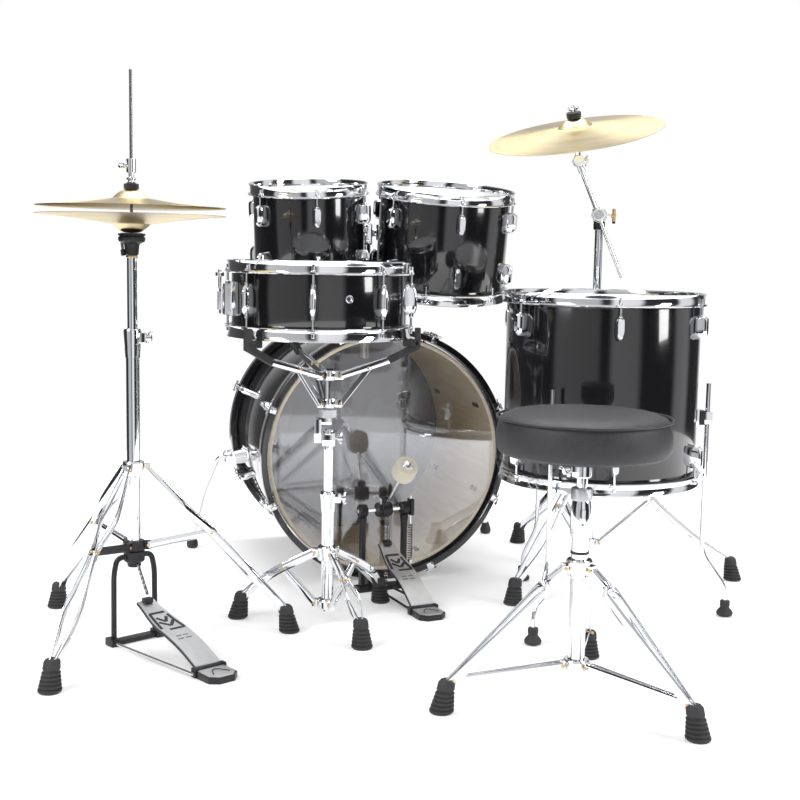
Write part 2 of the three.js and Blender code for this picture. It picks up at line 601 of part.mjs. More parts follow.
// ---- snare's own fittings ----
function snareFittings() {
  const group = groupAt([SNARE.at[0], SNARE.at[1], SNARE.at[2]]);
  const edge = SNARE.depth / 2;
  const bed = -edge - HEAD_THICK - 2 * GAP;
  const wires = block(-150, 150, -21, 21, bed - 2.5, bed);
  group.add(mesh('snare_wires', wires, CHROME));
  const side = SNARE.radius + 8;
  const lever = fuse(
    block(-side - 30, -side - 14.3, -9, 9, -30, 26),
    rod([-side - 22, 0, 26], [-side - 22, 0, 52], 3, 6),
    rod([-side - 22, 0, 52], [-side - 22, 0, 58], 8, 8),
  );
  group.add(mesh('snare_strainer_lever', lever.rotateZ(radians(STRAINER_ANGLE)), CHROME));
  return group;
}

// The strainer's base plate stands on the snare's shell between two lugs.
function strainerBase() {
  const side = SNARE.radius;
  const base = block(-side - 22, -side + 5, -15, 15, -34, 34);
  return base.rotateZ(radians(STRAINER_ANGLE));
}

// ---- floor tom legs ----
function floorTomBrackets() {
  const [low, high] = FLOOR_LEG.clamp.map((level) => level - FLOOR_TOM.at[2]);
  return FLOOR_LEG.angles.map((angle) => {
    const bracket = block(FLOOR_TOM.radius - 6, FLOOR_LEG.ring + 11, -13, 13, low, high);
    const bore = disc(FLOOR_LEG.rodRadius + 0.8, low - 10, high + 10, 10).translate(FLOOR_LEG.ring, 0, 0);
    return cut(bracket, bore).rotateZ(radians(angle));
  });
}

function floorTomLegs() {
  const group = groupAt(FLOOR_TOM.at.slice(0, 2));
  FLOOR_LEG.angles.forEach((angle, k) => {
    const { ring, foot, top, rodRadius } = FLOOR_LEG;
    const points = [[ring, 0, top], [ring, 0, 240], [ring, 0, 140], [foot, 0, 62], [foot, 0, 20]];
    const shoe = rod([foot, 0, 0], [foot, 0, 34], 18, 10, 9);
    const leg = fuse(bentRod(points, rodRadius), shoe);
    group.add(mesh(`floor_tom_leg_${k + 1}`, leg.rotateZ(radians(angle)), CHROME));
  });
  return group;
}

// ---- bass pedal ----
function kickPedal() {
  const group = groupAt(KICK.at, KICK.heading);
  const { shaft, post } = KICK;
  const pieces = [block(-post - 10, post + 10, -14, 40, 0, 6)];
  pieces.push(block(-18, 18, 38, 56, 0, 24), block(-18, 18, 50, 74, 15.5, 24));
  for (const side of [-1, 1]) {
    const upright = block(side * post - 6, side * post + 6, -9, 9, 3, shaft + 15);
    const bearing = rod([side * post - 20, 0, shaft], [side * post + 20, 0, shaft], 5.6, 10);
    pieces.push(cut(upright, bearing));
    pieces.push(rod([side * 18, 0, 5], [side * 24, KICK_HEEL.hinge - 8, 8], 3, 6));
  }
  pieces.push(block(-37, 37, KICK_HEEL.end, KICK_HEEL.hinge - 4, 0, KICK_HEEL.height - 6));
  group.add(mesh('kick_pedal_frame', fuse(...pieces), BLACK_METAL));
  const lean = radians(BEATER.lean);
  const along = [0, -Math.sin(lean), Math.cos(lean)];
  const at = (distance) => [0, along[1] * distance, shaft + along[2] * distance];
  const beater = fuse(
    rod([-post - 12, 0, shaft], [post + 22, 0, shaft], 5, 6),
    rod([-16, 0, shaft], [16, 0, shaft], 17, 10),
    rod(at(0), at(BEATER.length), 3.4, 8),
    rod(at(BEATER.length - BEATER.thick / 2), at(BEATER.length + BEATER.thick / 2), BEATER.radius, 14),
    block(post + 12, post + 22, -10, 26, shaft - 8, shaft + 8),
  );
  group.add(mesh('kick_beater_shaft', beater, CHROME));
  const board = footboard(KICK_HEEL.hinge, KICK_HEEL.height, KICK.toe, 62, 40);
  const chain = rod([0, KICK.toe[0] - 6, KICK.toe[1] - 3], [0, -22, shaft - 26], 4, 6);
  group.add(mesh('kick_footboard', fuse(board, chain), ALUMINIUM));
  return group;
}

// ---- the kit ----
const kit = new THREE.Group();
kit.add(bassDrum());
kit.add(tomHolder());
kit.add(tomArm('tom_holder_arm_left', SMALL_TOM, -1));
kit.add(tomArm('tom_holder_arm_right', MIDDLE_TOM, 1));
kit.add(flangedDrum('small_tom', SMALL_TOM));
kit.add(flangedDrum('middle_tom', MIDDLE_TOM));
kit.add(flangedDrum('floor_tom', FLOOR_TOM, floorTomBrackets()));
kit.add(floorTomLegs());
kit.add(flangedDrum('snare', SNARE, [strainerBase()]));
kit.add(snareFittings());
kit.add(snareStand());
kit.add(hiHat());
kit.add(crashStand());
kit.add(throne());
kit.add(kickPedal());

// The origin is the middle of the kit's footprint, on the floor.
kit.updateMatrixWorld(true);
const extent = new THREE.Box3().setFromObject(kit, true);
const middle = extent.getCenter(new THREE.Vector3());
kit.position.set(-middle.x, -middle.y, -extent.min.z);

export default kit;
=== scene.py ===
"""Looks of the acoustic drum kit. Lengths are in millimetres and the finished pieces in metres."""
import json
import math

import bmesh
import bpy
from mathutils import Matrix, Vector


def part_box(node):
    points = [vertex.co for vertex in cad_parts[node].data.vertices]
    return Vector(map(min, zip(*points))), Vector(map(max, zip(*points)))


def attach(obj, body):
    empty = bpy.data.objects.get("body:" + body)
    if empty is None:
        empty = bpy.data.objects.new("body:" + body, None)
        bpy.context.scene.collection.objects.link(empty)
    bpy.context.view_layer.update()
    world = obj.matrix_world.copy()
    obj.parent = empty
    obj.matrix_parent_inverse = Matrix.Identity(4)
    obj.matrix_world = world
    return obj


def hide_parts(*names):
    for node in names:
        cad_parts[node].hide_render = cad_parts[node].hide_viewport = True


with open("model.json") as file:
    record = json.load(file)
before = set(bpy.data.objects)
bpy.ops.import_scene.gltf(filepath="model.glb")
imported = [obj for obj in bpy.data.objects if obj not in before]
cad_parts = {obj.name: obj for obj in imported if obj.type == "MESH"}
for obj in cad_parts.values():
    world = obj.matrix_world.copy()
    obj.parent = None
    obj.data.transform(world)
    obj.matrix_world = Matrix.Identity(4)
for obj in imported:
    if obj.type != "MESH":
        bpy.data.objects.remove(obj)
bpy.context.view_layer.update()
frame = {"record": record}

RECORD = frame["record"]
BODY_OF = {node: body for body, nodes in RECORD["behaviour"]["bodies"].items() for node in nodes}
MM = 0.001
UP = Vector((0, 0, 1))
ACROSS = Vector((0, 1, 0))
IDENTITY = Matrix.Identity(4)
TUBE_BORE = 9.9
GAP = 0.3

# ---- the same driving dimensions as the CAD, in millimetres ----
SHELL_WALL = 7
HEAD_OFFSET = 1.3                 # from a shell's end to the middle of its head
HOOP_RISE = 18
LUG_REACH = 23
LUG_WIDTH = 20
LUG_LENGTH = 50
SNARE_LUG_HALF = 34
LUG_DROP = 24
DRUMS = {
    "small_tom": {"radius": 127, "lugs": 6, "first": -78},
    "middle_tom": {"radius": 152.5, "lugs": 6, "first": -78},
    "floor_tom": {"radius": 203, "lugs": 6, "first": -90},
    "snare": {"radius": 178, "lugs": 8, "first": -90},
}
BASS = {"radius": 279.5, "length": 495, "lugs": 8, "hoop": 297, "wall": 13.5, "width": 40, "set": 19}
SPUR = {"along": 323, "height": 254, "reach": 404, "foot": 415}
HIHAT_LEGS = {
    "feet": (-106, 14, 134), "hub": 345, "collar": 192, "strut": (150, 212), "tube": 12.7,
    "path": ((24, 345, 5), (92, 268, 15), (150, 214, 5), (226, 128, 15), (300, 44, 4)),
}
CRASH_LEGS = {
    "feet": (113.8, -126.2, -6.2), "hub": 300, "collar": 78, "strut": (147, 190), "tube": 12.7,
    "path": ((24, 300, 5), (147, 190, 8), (240, 108, 13), (340, 44, 4)),
}
THRONE_LEGS = {
    "feet": (-164, -44, 76), "hub": 238, "collar": 66, "strut": (226, 54), "tube": 14.5,
    "path": ((24, 238, 4), (58, 212, 4), (74, 194, 14), (236, 44, 3)),
}
SNARE_LEGS = {
    "feet": (174.7, -65.3, 54.7), "hub": 148, "collar": 40, "strut": (94, 112), "tube": 12.7,
    "path": ((24, 148, 4), (94, 112, 6), (140, 82, 12), (182, 44, 4)),
}
HIHAT_PEDAL = {"heading": 42.7, "hinge": -258, "end": -318, "toe": (-40, 92), "height": 20}
KICK_PEDAL = {"heading": 25.5, "hinge": -208, "end": -268, "toe": (-14, 115), "height": 20}
KICK_SHAFT = 187
KICK_POST = 52
BEATER = {"lean": 45, "length": 152, "radius": 26, "thick": 44}
FLOOR_LEGS = {"angles": (-123, -3, 117), "ring": 228, "foot": 284, "top": 505, "clamp": 432}
FLOOR_GLOW = (0.24, 0.85)
CRASH_LEAN = (15, -10)
CRASH_RADIUS = 203


# ---- places read from the frame ----
def centre(node):
    low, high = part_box(node)
    return (low + high) / 2 / MM


def corner(node):
    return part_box(node)[0] / MM


def stand(x, y, heading=0):
    return Matrix.Translation((x, y, 0)) @ Matrix.Rotation(math.radians(heading), 4, "Z")


def drum_axes(name):
    """The drum's own frame, with its axis along Z, and its half depth."""
    top = centre(name + "_batter_head")
    bottom = centre(name + "_resonant_head")
    axis = (top - bottom).normalized()
    back = axis.cross(Vector((1, 0, 0))).normalized()
    side = back.cross(axis)
    turn = Matrix((side, back, axis)).transposed().to_4x4()
    return Matrix.Translation((top + bottom) / 2) @ turn, (top - bottom).length / 2 - HEAD_OFFSET


BATTER = centre("bass_batter_head")
BASS_AXIS = (centre("bass_resonant_head") - BATTER).normalized()
BASS_HEADING = math.degrees(math.atan2(-BASS_AXIS.x, BASS_AXIS.y))
BASS_ORIGIN = BATTER - BASS_AXIS * (BASS["set"] - HEAD_OFFSET)
BASS_PLACE = stand(BASS_ORIGIN.x, BASS_ORIGIN.y, BASS_HEADING)
HIHAT_AT = centre("hihat_upper_tube")
HIHAT_PLACE = stand(HIHAT_AT.x, HIHAT_AT.y)
CRASH_PLACE = stand(centre("crash_upper_tube").x, centre("crash_lower_tube").y)
THRONE_AT = centre("throne_seat")
THRONE_PLACE = stand(THRONE_AT.x, THRONE_AT.y)
SNARE_STAND_PLACE = stand(corner("snare_stand_upper_tube").x + 14, centre("snare_stand_upper_tube").y)
POST_AT = centre("tom_holder_post")
KICK_AT = BASS_ORIGIN + Vector((-5, -87, 0))
KICK_PLACE = stand(KICK_AT.x, KICK_AT.y, KICK_PEDAL["heading"])


# ---- materials ----
MATERIALS = {}


def material(name, color, rough, metal=0.0, **sockets):
    mat = bpy.data.materials.new(name)
    mat.use_nodes = True
    shader = mat.node_tree.nodes["Principled BSDF"]
    values = {"Base Color": (*color, 1), "Roughness": rough, "Metallic": metal}
    values.update((socket.replace("_", " "), value) for socket, value in sockets.items())
    for socket, value in values.items():
        shader.inputs[socket].default_value = value
    MATERIALS[name] = mat
    return mat.node_tree, shader


def node(tree, kind, **values):
    made = tree.nodes.new(kind)
    for key, value in values.items():
        if key in made.inputs:
            made.inputs[key].default_value = value
        else:
            setattr(made, key, value)
    return made


def on_object(tree, kind, **values):
    """A node whose vector is the object's own coordinates."""
    made = node(tree, kind, **values)
    tree.links.new(node(tree, "ShaderNodeTexCoord").outputs["Object"], made.inputs["Vector"])
    return made


def object_noise(tree, scale, detail=3.0):
    return on_object(tree, "ShaderNodeTexNoise", Scale=scale, Detail=detail).outputs["Fac"]


def roughen(tree, shader, factor, low, high):
    """Maps a 0..1 factor to a roughness of low..high."""
    ramp = node(tree, "ShaderNodeMapRange")
    ramp.inputs["To Min"].default_value = low
    ramp.inputs["To Max"].default_value = high
    tree.links.new(factor, ramp.inputs["Value"])
    tree.links.new(ramp.outputs["Result"], shader.inputs["Roughness"])


def tint(tree, shader, factor, first, second, reach=1.0):
    """Colours the surface from first to second, which is full at the factor's reach."""
    ramp = node(tree, "ShaderNodeValToRGB")
    start, end = ramp.color_ramp.elements
    start.color, end.color = (*first, 1), (*second, 1)
    end.position = reach
    tree.links.new(factor, ramp.inputs["Fac"])
    tree.links.new(ramp.outputs["Color"], shader.inputs["Base Color"])


def bump(tree, shader, height, strength, distance):
    made = node(tree, "ShaderNodeBump", Strength=strength, Distance=distance)
    tree.links.new(height, made.inputs["Height"])
    tree.links.new(made.outputs["Normal"], shader.inputs["Normal"])


def finish(name, color, rough, metal=0.0, smear=None, tones=None, relief=None, detail=3.0, **sockets):
    """A surface with noise in its roughness, colour and height. Each range starts with its noise's scale."""
    made = material(name, color, rough, metal, **sockets)
    for apply_range, values in ((roughen, smear), (tint, tones), (bump, relief)):
        if values:
            apply_range(*made, object_noise(made[0], values[0], detail), *values[1:])


def chrome():
    finish("chrome", (0.82, 0.83, 0.85), 0.06, 1.0, smear=(18, 0.03, 0.11), relief=(35, 0.04, 0.002))


def dull_chrome():
    tree, shader = material("knurled_chrome", (0.62, 0.63, 0.65), 0.3, 1.0)
    checks = on_object(tree, "ShaderNodeTexVoronoi", Scale=900.0)
    bump(tree, shader, checks.outputs["Distance"], 0.5, 0.0006)


def lacquer():
    black = (0.006, 0.006, 0.007)
    tree, shader = material("gloss_black", black, 0.12, Coat_Weight=0.8, Coat_Roughness=0.02)
    flakes = on_object(tree, "ShaderNodeTexVoronoi", Scale=1400.0)
    tint(tree, shader, flakes.outputs["Distance"], (0.16, 0.16, 0.17), black, 0.16)
    roughen(tree, shader, object_noise(tree, 9), 0.08, 0.16)


def hoop_black():
    finish("hoop_black", (0.008, 0.008, 0.009), 0.16, smear=(14, 0.12, 0.22), Coat_Weight=0.6,
           Coat_Roughness=0.05)


def inner_wood():
    tree, shader = material("inner_wood", (0.5, 0.42, 0.32), 0.55)
    stretch = on_object(tree, "ShaderNodeMapping", Scale=(3, 3, 0.35))
    grain = node(tree, "ShaderNodeTexNoise", Scale=26.0, Detail=6.0)
    tree.links.new(stretch.outputs["Vector"], grain.inputs["Vector"])
    tint(tree, shader, grain.outputs["Fac"], (0.62, 0.52, 0.38), (0.92, 0.83, 0.68))
    bump(tree, shader, grain.outputs["Fac"], 0.12, 0.001)


def head_film():
    finish("drum_film", (0.78, 0.79, 0.8), 0.32, smear=(12, 0.25, 0.42), relief=(700, 0.1, 0.0003),
           tones=(12, (0.7, 0.71, 0.72), (0.86, 0.87, 0.88)), Alpha=0.9)


def clear_film():
    finish("clear_film", (0.8, 0.81, 0.84), 0.03, 1.0, smear=(6, 0.015, 0.05), Alpha=0.15)


def dark_film():
    finish("black_film", (0.06, 0.062, 0.066), 0.28, smear=(5, 0.2, 0.34),
           tones=(5, (0.13, 0.133, 0.142), (0.2, 0.205, 0.216)))


def bronze():
    """Lathe-turned bronze: fine grooves and pale bands round the bell, with a radial sheen."""
    tree, shader = material("bronze", (0.8, 0.66, 0.4), 0.24, 1.0, Anisotropic=0.85)
    round_axis = node(tree, "ShaderNodeTangent", direction_type="RADIAL", axis="Z")
    tree.links.new(round_axis.outputs["Tangent"], shader.inputs["Tangent"])
    parts = on_object(tree, "ShaderNodeSeparateXYZ")
    flat = node(tree, "ShaderNodeCombineXYZ")
    for axis in ("X", "Y"):
        tree.links.new(parts.outputs[axis], flat.inputs[axis])
    radius = node(tree, "ShaderNodeVectorMath", operation="LENGTH")
    tree.links.new(flat.outputs["Vector"], radius.inputs[0])
    grooves = node(tree, "ShaderNodeTexNoise", noise_dimensions="1D", Scale=900.0, Detail=4.0)
    bands = node(tree, "ShaderNodeTexNoise", noise_dimensions="1D", Scale=45.0, Detail=2.0)
    for texture in (grooves, bands):
        tree.links.new(radius.outputs["Value"], texture.inputs["W"])
    tint(tree, shader, bands.outputs["Fac"], (0.6, 0.49, 0.27), (0.82, 0.7, 0.45))
    roughen(tree, shader, grooves.outputs["Fac"], 0.24, 0.36)
    bump(tree, shader, grooves.outputs["Fac"], 0.35, 0.0004)


def satin_black():
    finish("black_metal", (0.018, 0.018, 0.02), 0.38, 0.3, smear=(60, 0.28, 0.46), relief=(500, 0.15, 0.0004))


def rubber():
    finish("rubber", (0.022, 0.022, 0.024), 0.7, tones=(40, (0.012, 0.012, 0.013), (0.04, 0.04, 0.042)),
           relief=(420, 0.3, 0.0006))


def board_aluminium():
    finish("board_aluminium", (0.62, 0.63, 0.64), 0.36, 0.85, smear=(900, 0.3, 0.5),
           tones=(30, (0.56, 0.565, 0.575), (0.7, 0.705, 0.71)), relief=(900, 0.2, 0.0003))


def vinyl():
    """Grained vinyl: warped cells pressed into a faintly uneven black."""
    tree, shader = material("vinyl", (0.02, 0.02, 0.022), 0.42)
    cells = node(tree, "ShaderNodeTexVoronoi", Scale=620.0, feature="DISTANCE_TO_EDGE")
    warp = on_object(tree, "ShaderNodeTexNoise", Scale=160.0, Detail=4.0)
    mix = node(tree, "ShaderNodeMix", data_type="VECTOR")
    mix.inputs["Factor"].default_value = 0.012
    tree.links.new(node(tree, "ShaderNodeTexCoord").outputs["Object"], mix.inputs[4])
    tree.links.new(warp.outputs["Color"], mix.inputs[5])
    tree.links.new(mix.outputs[1], cells.inputs["Vector"])
    roughen(tree, shader, warp.outputs["Fac"], 0.34, 0.52)
    tint(tree, shader, warp.outputs["Fac"], (0.014, 0.014, 0.016), (0.032, 0.032, 0.035))
    bump(tree, shader, cells.outputs["Distance"], 0.35, 0.0012)


def felt(name, dark, light):
    finish(name, light, 0.95, tones=(520, dark, light), relief=(520, 0.7, 0.001), detail=6, Sheen_Weight=0.4)


def brass():
    finish("brass_trim", (0.66, 0.5, 0.26), 0.28, 1.0, smear=(90, 0.2, 0.4))


def board_print():
    finish("board_print", (0.02, 0.02, 0.022), 0.5, smear=(300, 0.4, 0.6))


def dark_rod():
    finish("dark_rod", (0.2, 0.2, 0.21), 0.22, 1.0, smear=(120, 0.15, 0.32))


for make_material in (chrome, dull_chrome, lacquer, hoop_black, inner_wood, head_film, clear_film,
                      dark_film, bronze,
                      satin_black, rubber, board_aluminium, vinyl, brass, board_print, dark_rod):
    make_material()
felt("black_felt", (0.006, 0.006, 0.006), (0.025, 0.025, 0.026))
felt("cream_felt", (0.62, 0.56, 0.43), (0.82, 0.77, 0.64))


# ---- mesh building ----
STRAP_EDGE = ((-0.5, -0.42), (-0.5, 0.42), (-0.2, 0.5), (0.2, 0.5), (0.5, 0.42), (0.5, -0.42), (0.2, -0.5),
              (-0.2, -0.5))


def shift(x, y, z):
    return Matrix.Translation((x, y, z))


def turned(axis, degrees):
    return Matrix.Rotation(math.radians(degrees), 4, axis)


def turn_z(degrees):
    return turned("Z", degrees)


def aligned(direction):
    """A turn that takes the Z axis to the direction."""
    return UP.rotation_difference(direction.normalized()).to_matrix().to_4x4()


def polar(radius, degrees, height=0):
    angle = math.radians(degrees)
    return Vector((radius * math.cos(angle), radius * math.sin(angle), height))


def offset(profile, radius, height):
    """A profile moved out by a radius and up by a height."""
    return [(radius + r, height + z) for r, z in profile]


def smooth_route(points, bend, steps=6):
    """Rounds a chain of points with arcs of about the given bend."""
    points = [Vector(point) for point in points]
    route = [points[0]]
    for before, here, after in zip(points, points[1:], points[2:]):
        near = min(bend, (here - before).length * 0.45, (after - here).length * 0.45)
        start = here + (before - here).normalized() * near
        end = here + (after - here).normalized() * near
        for i in range(steps + 1):
            t = i / steps
            route.append(start.lerp(here, t).lerp(here.lerp(end, t), t))
    return route + points[-1:]


def faced_out(points, faces):
    """The faces, turned over when together they point inwards."""
    volume = 0.0
    for face in faces:
        for second, third in zip(face[1:], face[2:]):
            volume += points[face[0]].dot(points[second].cross(points[third]))
    return faces if volume > 0 else [face[::-1] for face in faces]


def skin(rings, loop=False):
    """The points and faces of a body through rings of points, with flat ends unless it is a loop."""
    sides, count = len(rings[0]), len(rings)
    points = [point for ring in rings for point in ring]
    faces = []
    for i in range(count if loop else count - 1):
        near, far = i * sides, (i + 1) % count * sides
        for k in range(sides):
            after = (k + 1) % sides
            faces.append([near + k, near + after, far + after, far + k])
    if not loop:
        faces += [list(range(sides))[::-1], list(range(len(points) - sides, len(points)))]
    return points, faced_out(points, faces)


def bevelled(bm, bevel):
    """Bevels every edge and hands over the points and faces."""
    if bevel > 0:
        bmesh.ops.bevel(bm, geom=bm.edges[:], offset=bevel, segments=2, profile=0.7, affect="EDGES")
    bmesh.ops.recalc_face_normals(bm, faces=bm.faces)
    bm.verts.index_update()
    points = [vert.co.copy() for vert in bm.verts]
    faces = [[vert.index for vert in face.verts] for face in bm.faces]
    bm.free()
    return points, faces


class Shape:
    """Gathers closed bodies of several materials into one mesh."""

    def __init__(self):
        self.points = []
        self.faces = []
        self.looks = []

    def add(self, points, faces, place=None, look="chrome"):
        base = len(self.points)
        place = place or IDENTITY
        self.points.extend(place @ Vector(point) for point in points)
        self.faces.extend([base + i for i in face] for face in faces)
        self.looks.extend([look] * len(faces))

    def box(self, low, high, place=None, look="chrome", bevel=1.2):
        low, high = Vector(low), Vector(high)
        size = high - low
        bm = bmesh.new()
        bmesh.ops.create_cube(bm, size=1)
        bmesh.ops.scale(bm, vec=size, verts=bm.verts)
        middle = Matrix.Translation((low + high) / 2)
        self.add(*bevelled(bm, min(bevel, min(size) * 0.45)), (place or IDENTITY) @ middle, look)

    def lathe(self, profile, place=None, look="chrome", sides=48, closed=False):
        """Turns (radius, height) points about Z. An open profile starts and ends on the axis."""
        points, rings, faces = [], [], []
        for radius, height in profile:
            start = len(points)
            if radius < 1e-6:
                points.append(Vector((0, 0, height)))
                rings.append([start] * sides)
            else:
                points += [polar(radius, 360 * k / sides, height) for k in range(sides)]
                rings.append(list(range(start, start + sides)))
        for lower, upper in zip(rings, rings[1:] + (rings[:1] if closed else [])):
            for k in range(sides):
                after = (k + 1) % sides
                quad = [lower[k], lower[after], upper[after], upper[k]]
                face = [quad[i] for i in range(4) if quad[i] != quad[i - 1]]
                if len(face) >= 3:
                    faces.append(face)
        self.add(points, faced_out(points, faces), place, look)

    def ring(self, profile, place=None, look="chrome", sides=48):
        """Turns a closed profile about Z."""
        self.lathe(profile, place, look, sides, closed=True)

    def pipe(self, inner, outer, low, high, place=None, look="chrome"):
        outside = [(outer - 0.8, low), (outer, low + 1), (outer, high - 1), (outer - 0.8, high)]
        self.ring([(inner, low)] + outside + [(inner, high)], place, look)

    def tube(self, route, radius, place=None, look="chrome", sides=12, loop=False):
        """A round bar along a route, with flat ends, or a ring when loop is true."""
        route = [Vector(point) for point in route]
        count = len(route)
        ways, rings = [], []
        for i in range(count):
            before = route[i - 1] if i or loop else route[i]
            after = route[(i + 1) % count] if i < count - 1 or loop else route[i]
            ways.append((after - before).normalized())
        side = ways[0].orthogonal().normalized()
        spokes = [polar(radius, 360 * k / sides) for k in range(sides)]
        for i, way in enumerate(ways):
            if i:
                side = ways[i - 1].rotation_difference(way) @ side
            across = way.cross(side)
            rings.append([route[i] + side * spoke.x + across * spoke.y for spoke in spokes])
        self.add(*skin(rings, loop), place, look)

    def rod(self, start, end, radius, place=None, look="chrome", sides=16, end_radius=None):
        """A straight bar with chamfered ends."""
        start, run = Vector(start), Vector(end) - Vector(start)
        length = run.length
        end_radius = end_radius or radius
        edge = min(0.8, radius * 0.25, length * 0.2)
        profile = [(0, 0), (radius - edge, 0), (radius, edge), (end_radius, length - edge)]
        profile += [(end_radius - edge, length), (0, length)]
        self.lathe(profile, (place or IDENTITY) @ Matrix.Translation(start) @ aligned(run), look, sides)

    def post(self, low, high, radius, place=None, look="chrome", sides=16):
        """An upright bar on the Z axis."""
        self.rod((0, 0, low), (0, 0, high), radius, place, look, sides)

    def prism(self, outline, thick, place=None, look="chrome", bevel=0.0):
        """An outline in X and Y, thick along Z from 0, with chamfered edges."""
        bm = bmesh.new()
        face = bm.faces.new([bm.verts.new((x, y, 0)) for x, y in outline])
        bm.normal_update()
        if face.normal.z > 0:
            face.normal_flip()
        made = bmesh.ops.extrude_face_region(bm, geom=[face])
        top = [item for item in made["geom"] if isinstance(item, bmesh.types.BMVert)]
        bmesh.ops.translate(bm, verts=top, vec=(0, 0, thick))
        self.add(*bevelled(bm, bevel), place, look)

    def strap(self, route, width, thick, place=None, look="chrome"):
        """A flat strap on edge along a route, with its width upright."""
        route = [Vector(point) for point in route]
        rings = []
        for before, here, after in zip(route[:1] + route, route, route[1:] + route[-1:]):
            along = (after - before).normalized()
            up = (UP - along * along.z).normalized()
            side = along.cross(up)
            rings.append([here + side * s * thick + up * u * width for s, u in STRAP_EDGE])
        self.add(*skin(rings), place, look)

    def dome(self, reach, half_width, half_height, place, square=0.8):
        """A half ellipsoid standing out along +X, with a flat back at X = 0."""
        tilts = [math.pi / 18 * i for i in range(10)]
        profile = [(math.sin(tilt) ** square, math.cos(tilt) ** square) for tilt in tilts]
        stretch = Matrix(((0, 0, reach, 0), (half_width, 0, 0, 0), (0, half_height, 0, 0), (0, 0, 0, 1)))
        self.lathe(profile + [(0, 0)], place @ stretch, sides=20)

    def make(self, name, body, place=None):
        """Builds the object. Points are in the place's own frame."""
        mesh = bpy.data.meshes.new(name)
        mesh.from_pydata([point * MM for point in self.points], [], self.faces)
        used = list(dict.fromkeys(self.looks))
        for look in used:
            mesh.materials.append(MATERIALS[look])
        for polygon, look in zip(mesh.polygons, self.looks):
            polygon.material_index = used.index(look)
            polygon.use_smooth = True
        mesh.set_sharp_from_angle(angle=math.radians(32))
        mesh.validate()
        obj = bpy.data.objects.new(name, mesh)
        bpy.context.scene.collection.objects.link(obj)
        if place is not None:
            rest = place.copy()
            rest.translation = rest.translation * MM
            obj.matrix_world = rest
        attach(obj, body)
        return obj

    def stand_for(self, name, place=None):
        """Builds the object in the place of the CAD node of that name."""
        obj = self.make(name + "_detail", BODY_OF[name], place)
        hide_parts(name)
        return obj


# ---- small hardware ----
def wing_screw(shape, place, length, span):
    """A wing screw whose shank runs out along +X from the place."""
    shape.rod((0, 0, 0), (length, 0, 0), 3, place)
    shape.rod((length - 5, 0, 0), (length + 5, 0, 0), 6, place)
    for side in (-1, 1):
        wing = [(length, 0, side * 3), (length + 1, 0, side * span / 3), (length + 4, 0, side * span / 2)]
        shape.tube(smooth_route(wing, 5), 3.1, place, sides=10)


def rivet(shape, centre_point, across, reach, look="brass_trim", radius=3.2):
    """A rivet through a leg, across its two plates."""
    middle = Vector(centre_point)
    across = Vector(across).normalized()
    shape.rod(middle - across * reach, middle + across * reach, radius, look=look, sides=12)


def lower_tube(name, place, low, clamp_low, clamp_high):
    """A stand's lower tube with a flared clamp at its top, a split lug and a wing screw."""
    shape = Shape()
    shape.pipe(TUBE_BORE, 12.7, low, clamp_low + 6)
    waist = clamp_low + (clamp_high - clamp_low) * 0.3
    shape.ring([(TUBE_BORE, clamp_low), (TUBE_BORE + 4, clamp_low), (TUBE_BORE + 5, waist), (15, waist + 6),
                (17, clamp_high - 4), (15, clamp_high), (TUBE_BORE, clamp_high)], sides=40)
    middle = (waist + clamp_high) / 2 + 2
    shape.box((10, -8, middle - 10), (27, 8, middle + 10), bevel=2.5)
    wing_screw(shape, shift(26, 0, middle), 6, 26)
    shape.stand_for(name, place)


# ---- tripods ----
def smooth_stations(path, steps=8):
    """Radius, height and spread along a leg, rounded between the stations."""
    stops = [Vector(stop) for stop in path]
    padded = stops[:1] + stops + stops[-1:]
    out = []
    for before, here, after, beyond in zip(padded, stops, stops[1:], padded[3:]):
        lean_in, lean_out = (after - before) * 0.4, (beyond - here) * 0.4
        for k in range(steps):
            t = k / steps
            first = (2 * t ** 3 - 3 * t ** 2 + 1) * here + (t ** 3 - 2 * t ** 2 + t) * lean_in
            out.append(first + (3 * t ** 2 - 2 * t ** 3) * after + (t ** 3 - t ** 2) * lean_out)
    return out + stops[-1:]


def rubber_foot(shape, radius, place):
    """A ribbed rubber boot that leans out with its leg."""
    profile = [(0, 0), (18, 0), (20, 2)]
    for k in range(5):
        profile += offset([(0, 0), (0, 3), (-3, 4.4), (-3.2, 6)], 21 - 1.1 * k, 3 + 7 * k)
    profile += [(15.6, 40), (14.6, 52), (11.5, 56), (0, 56)]
    lean = Matrix.Identity(4)
    lean[0][2] = -10 / 56
    shape.lathe(profile, place @ shift(radius + 8, 0, 0) @ lean, "rubber", sides=28)


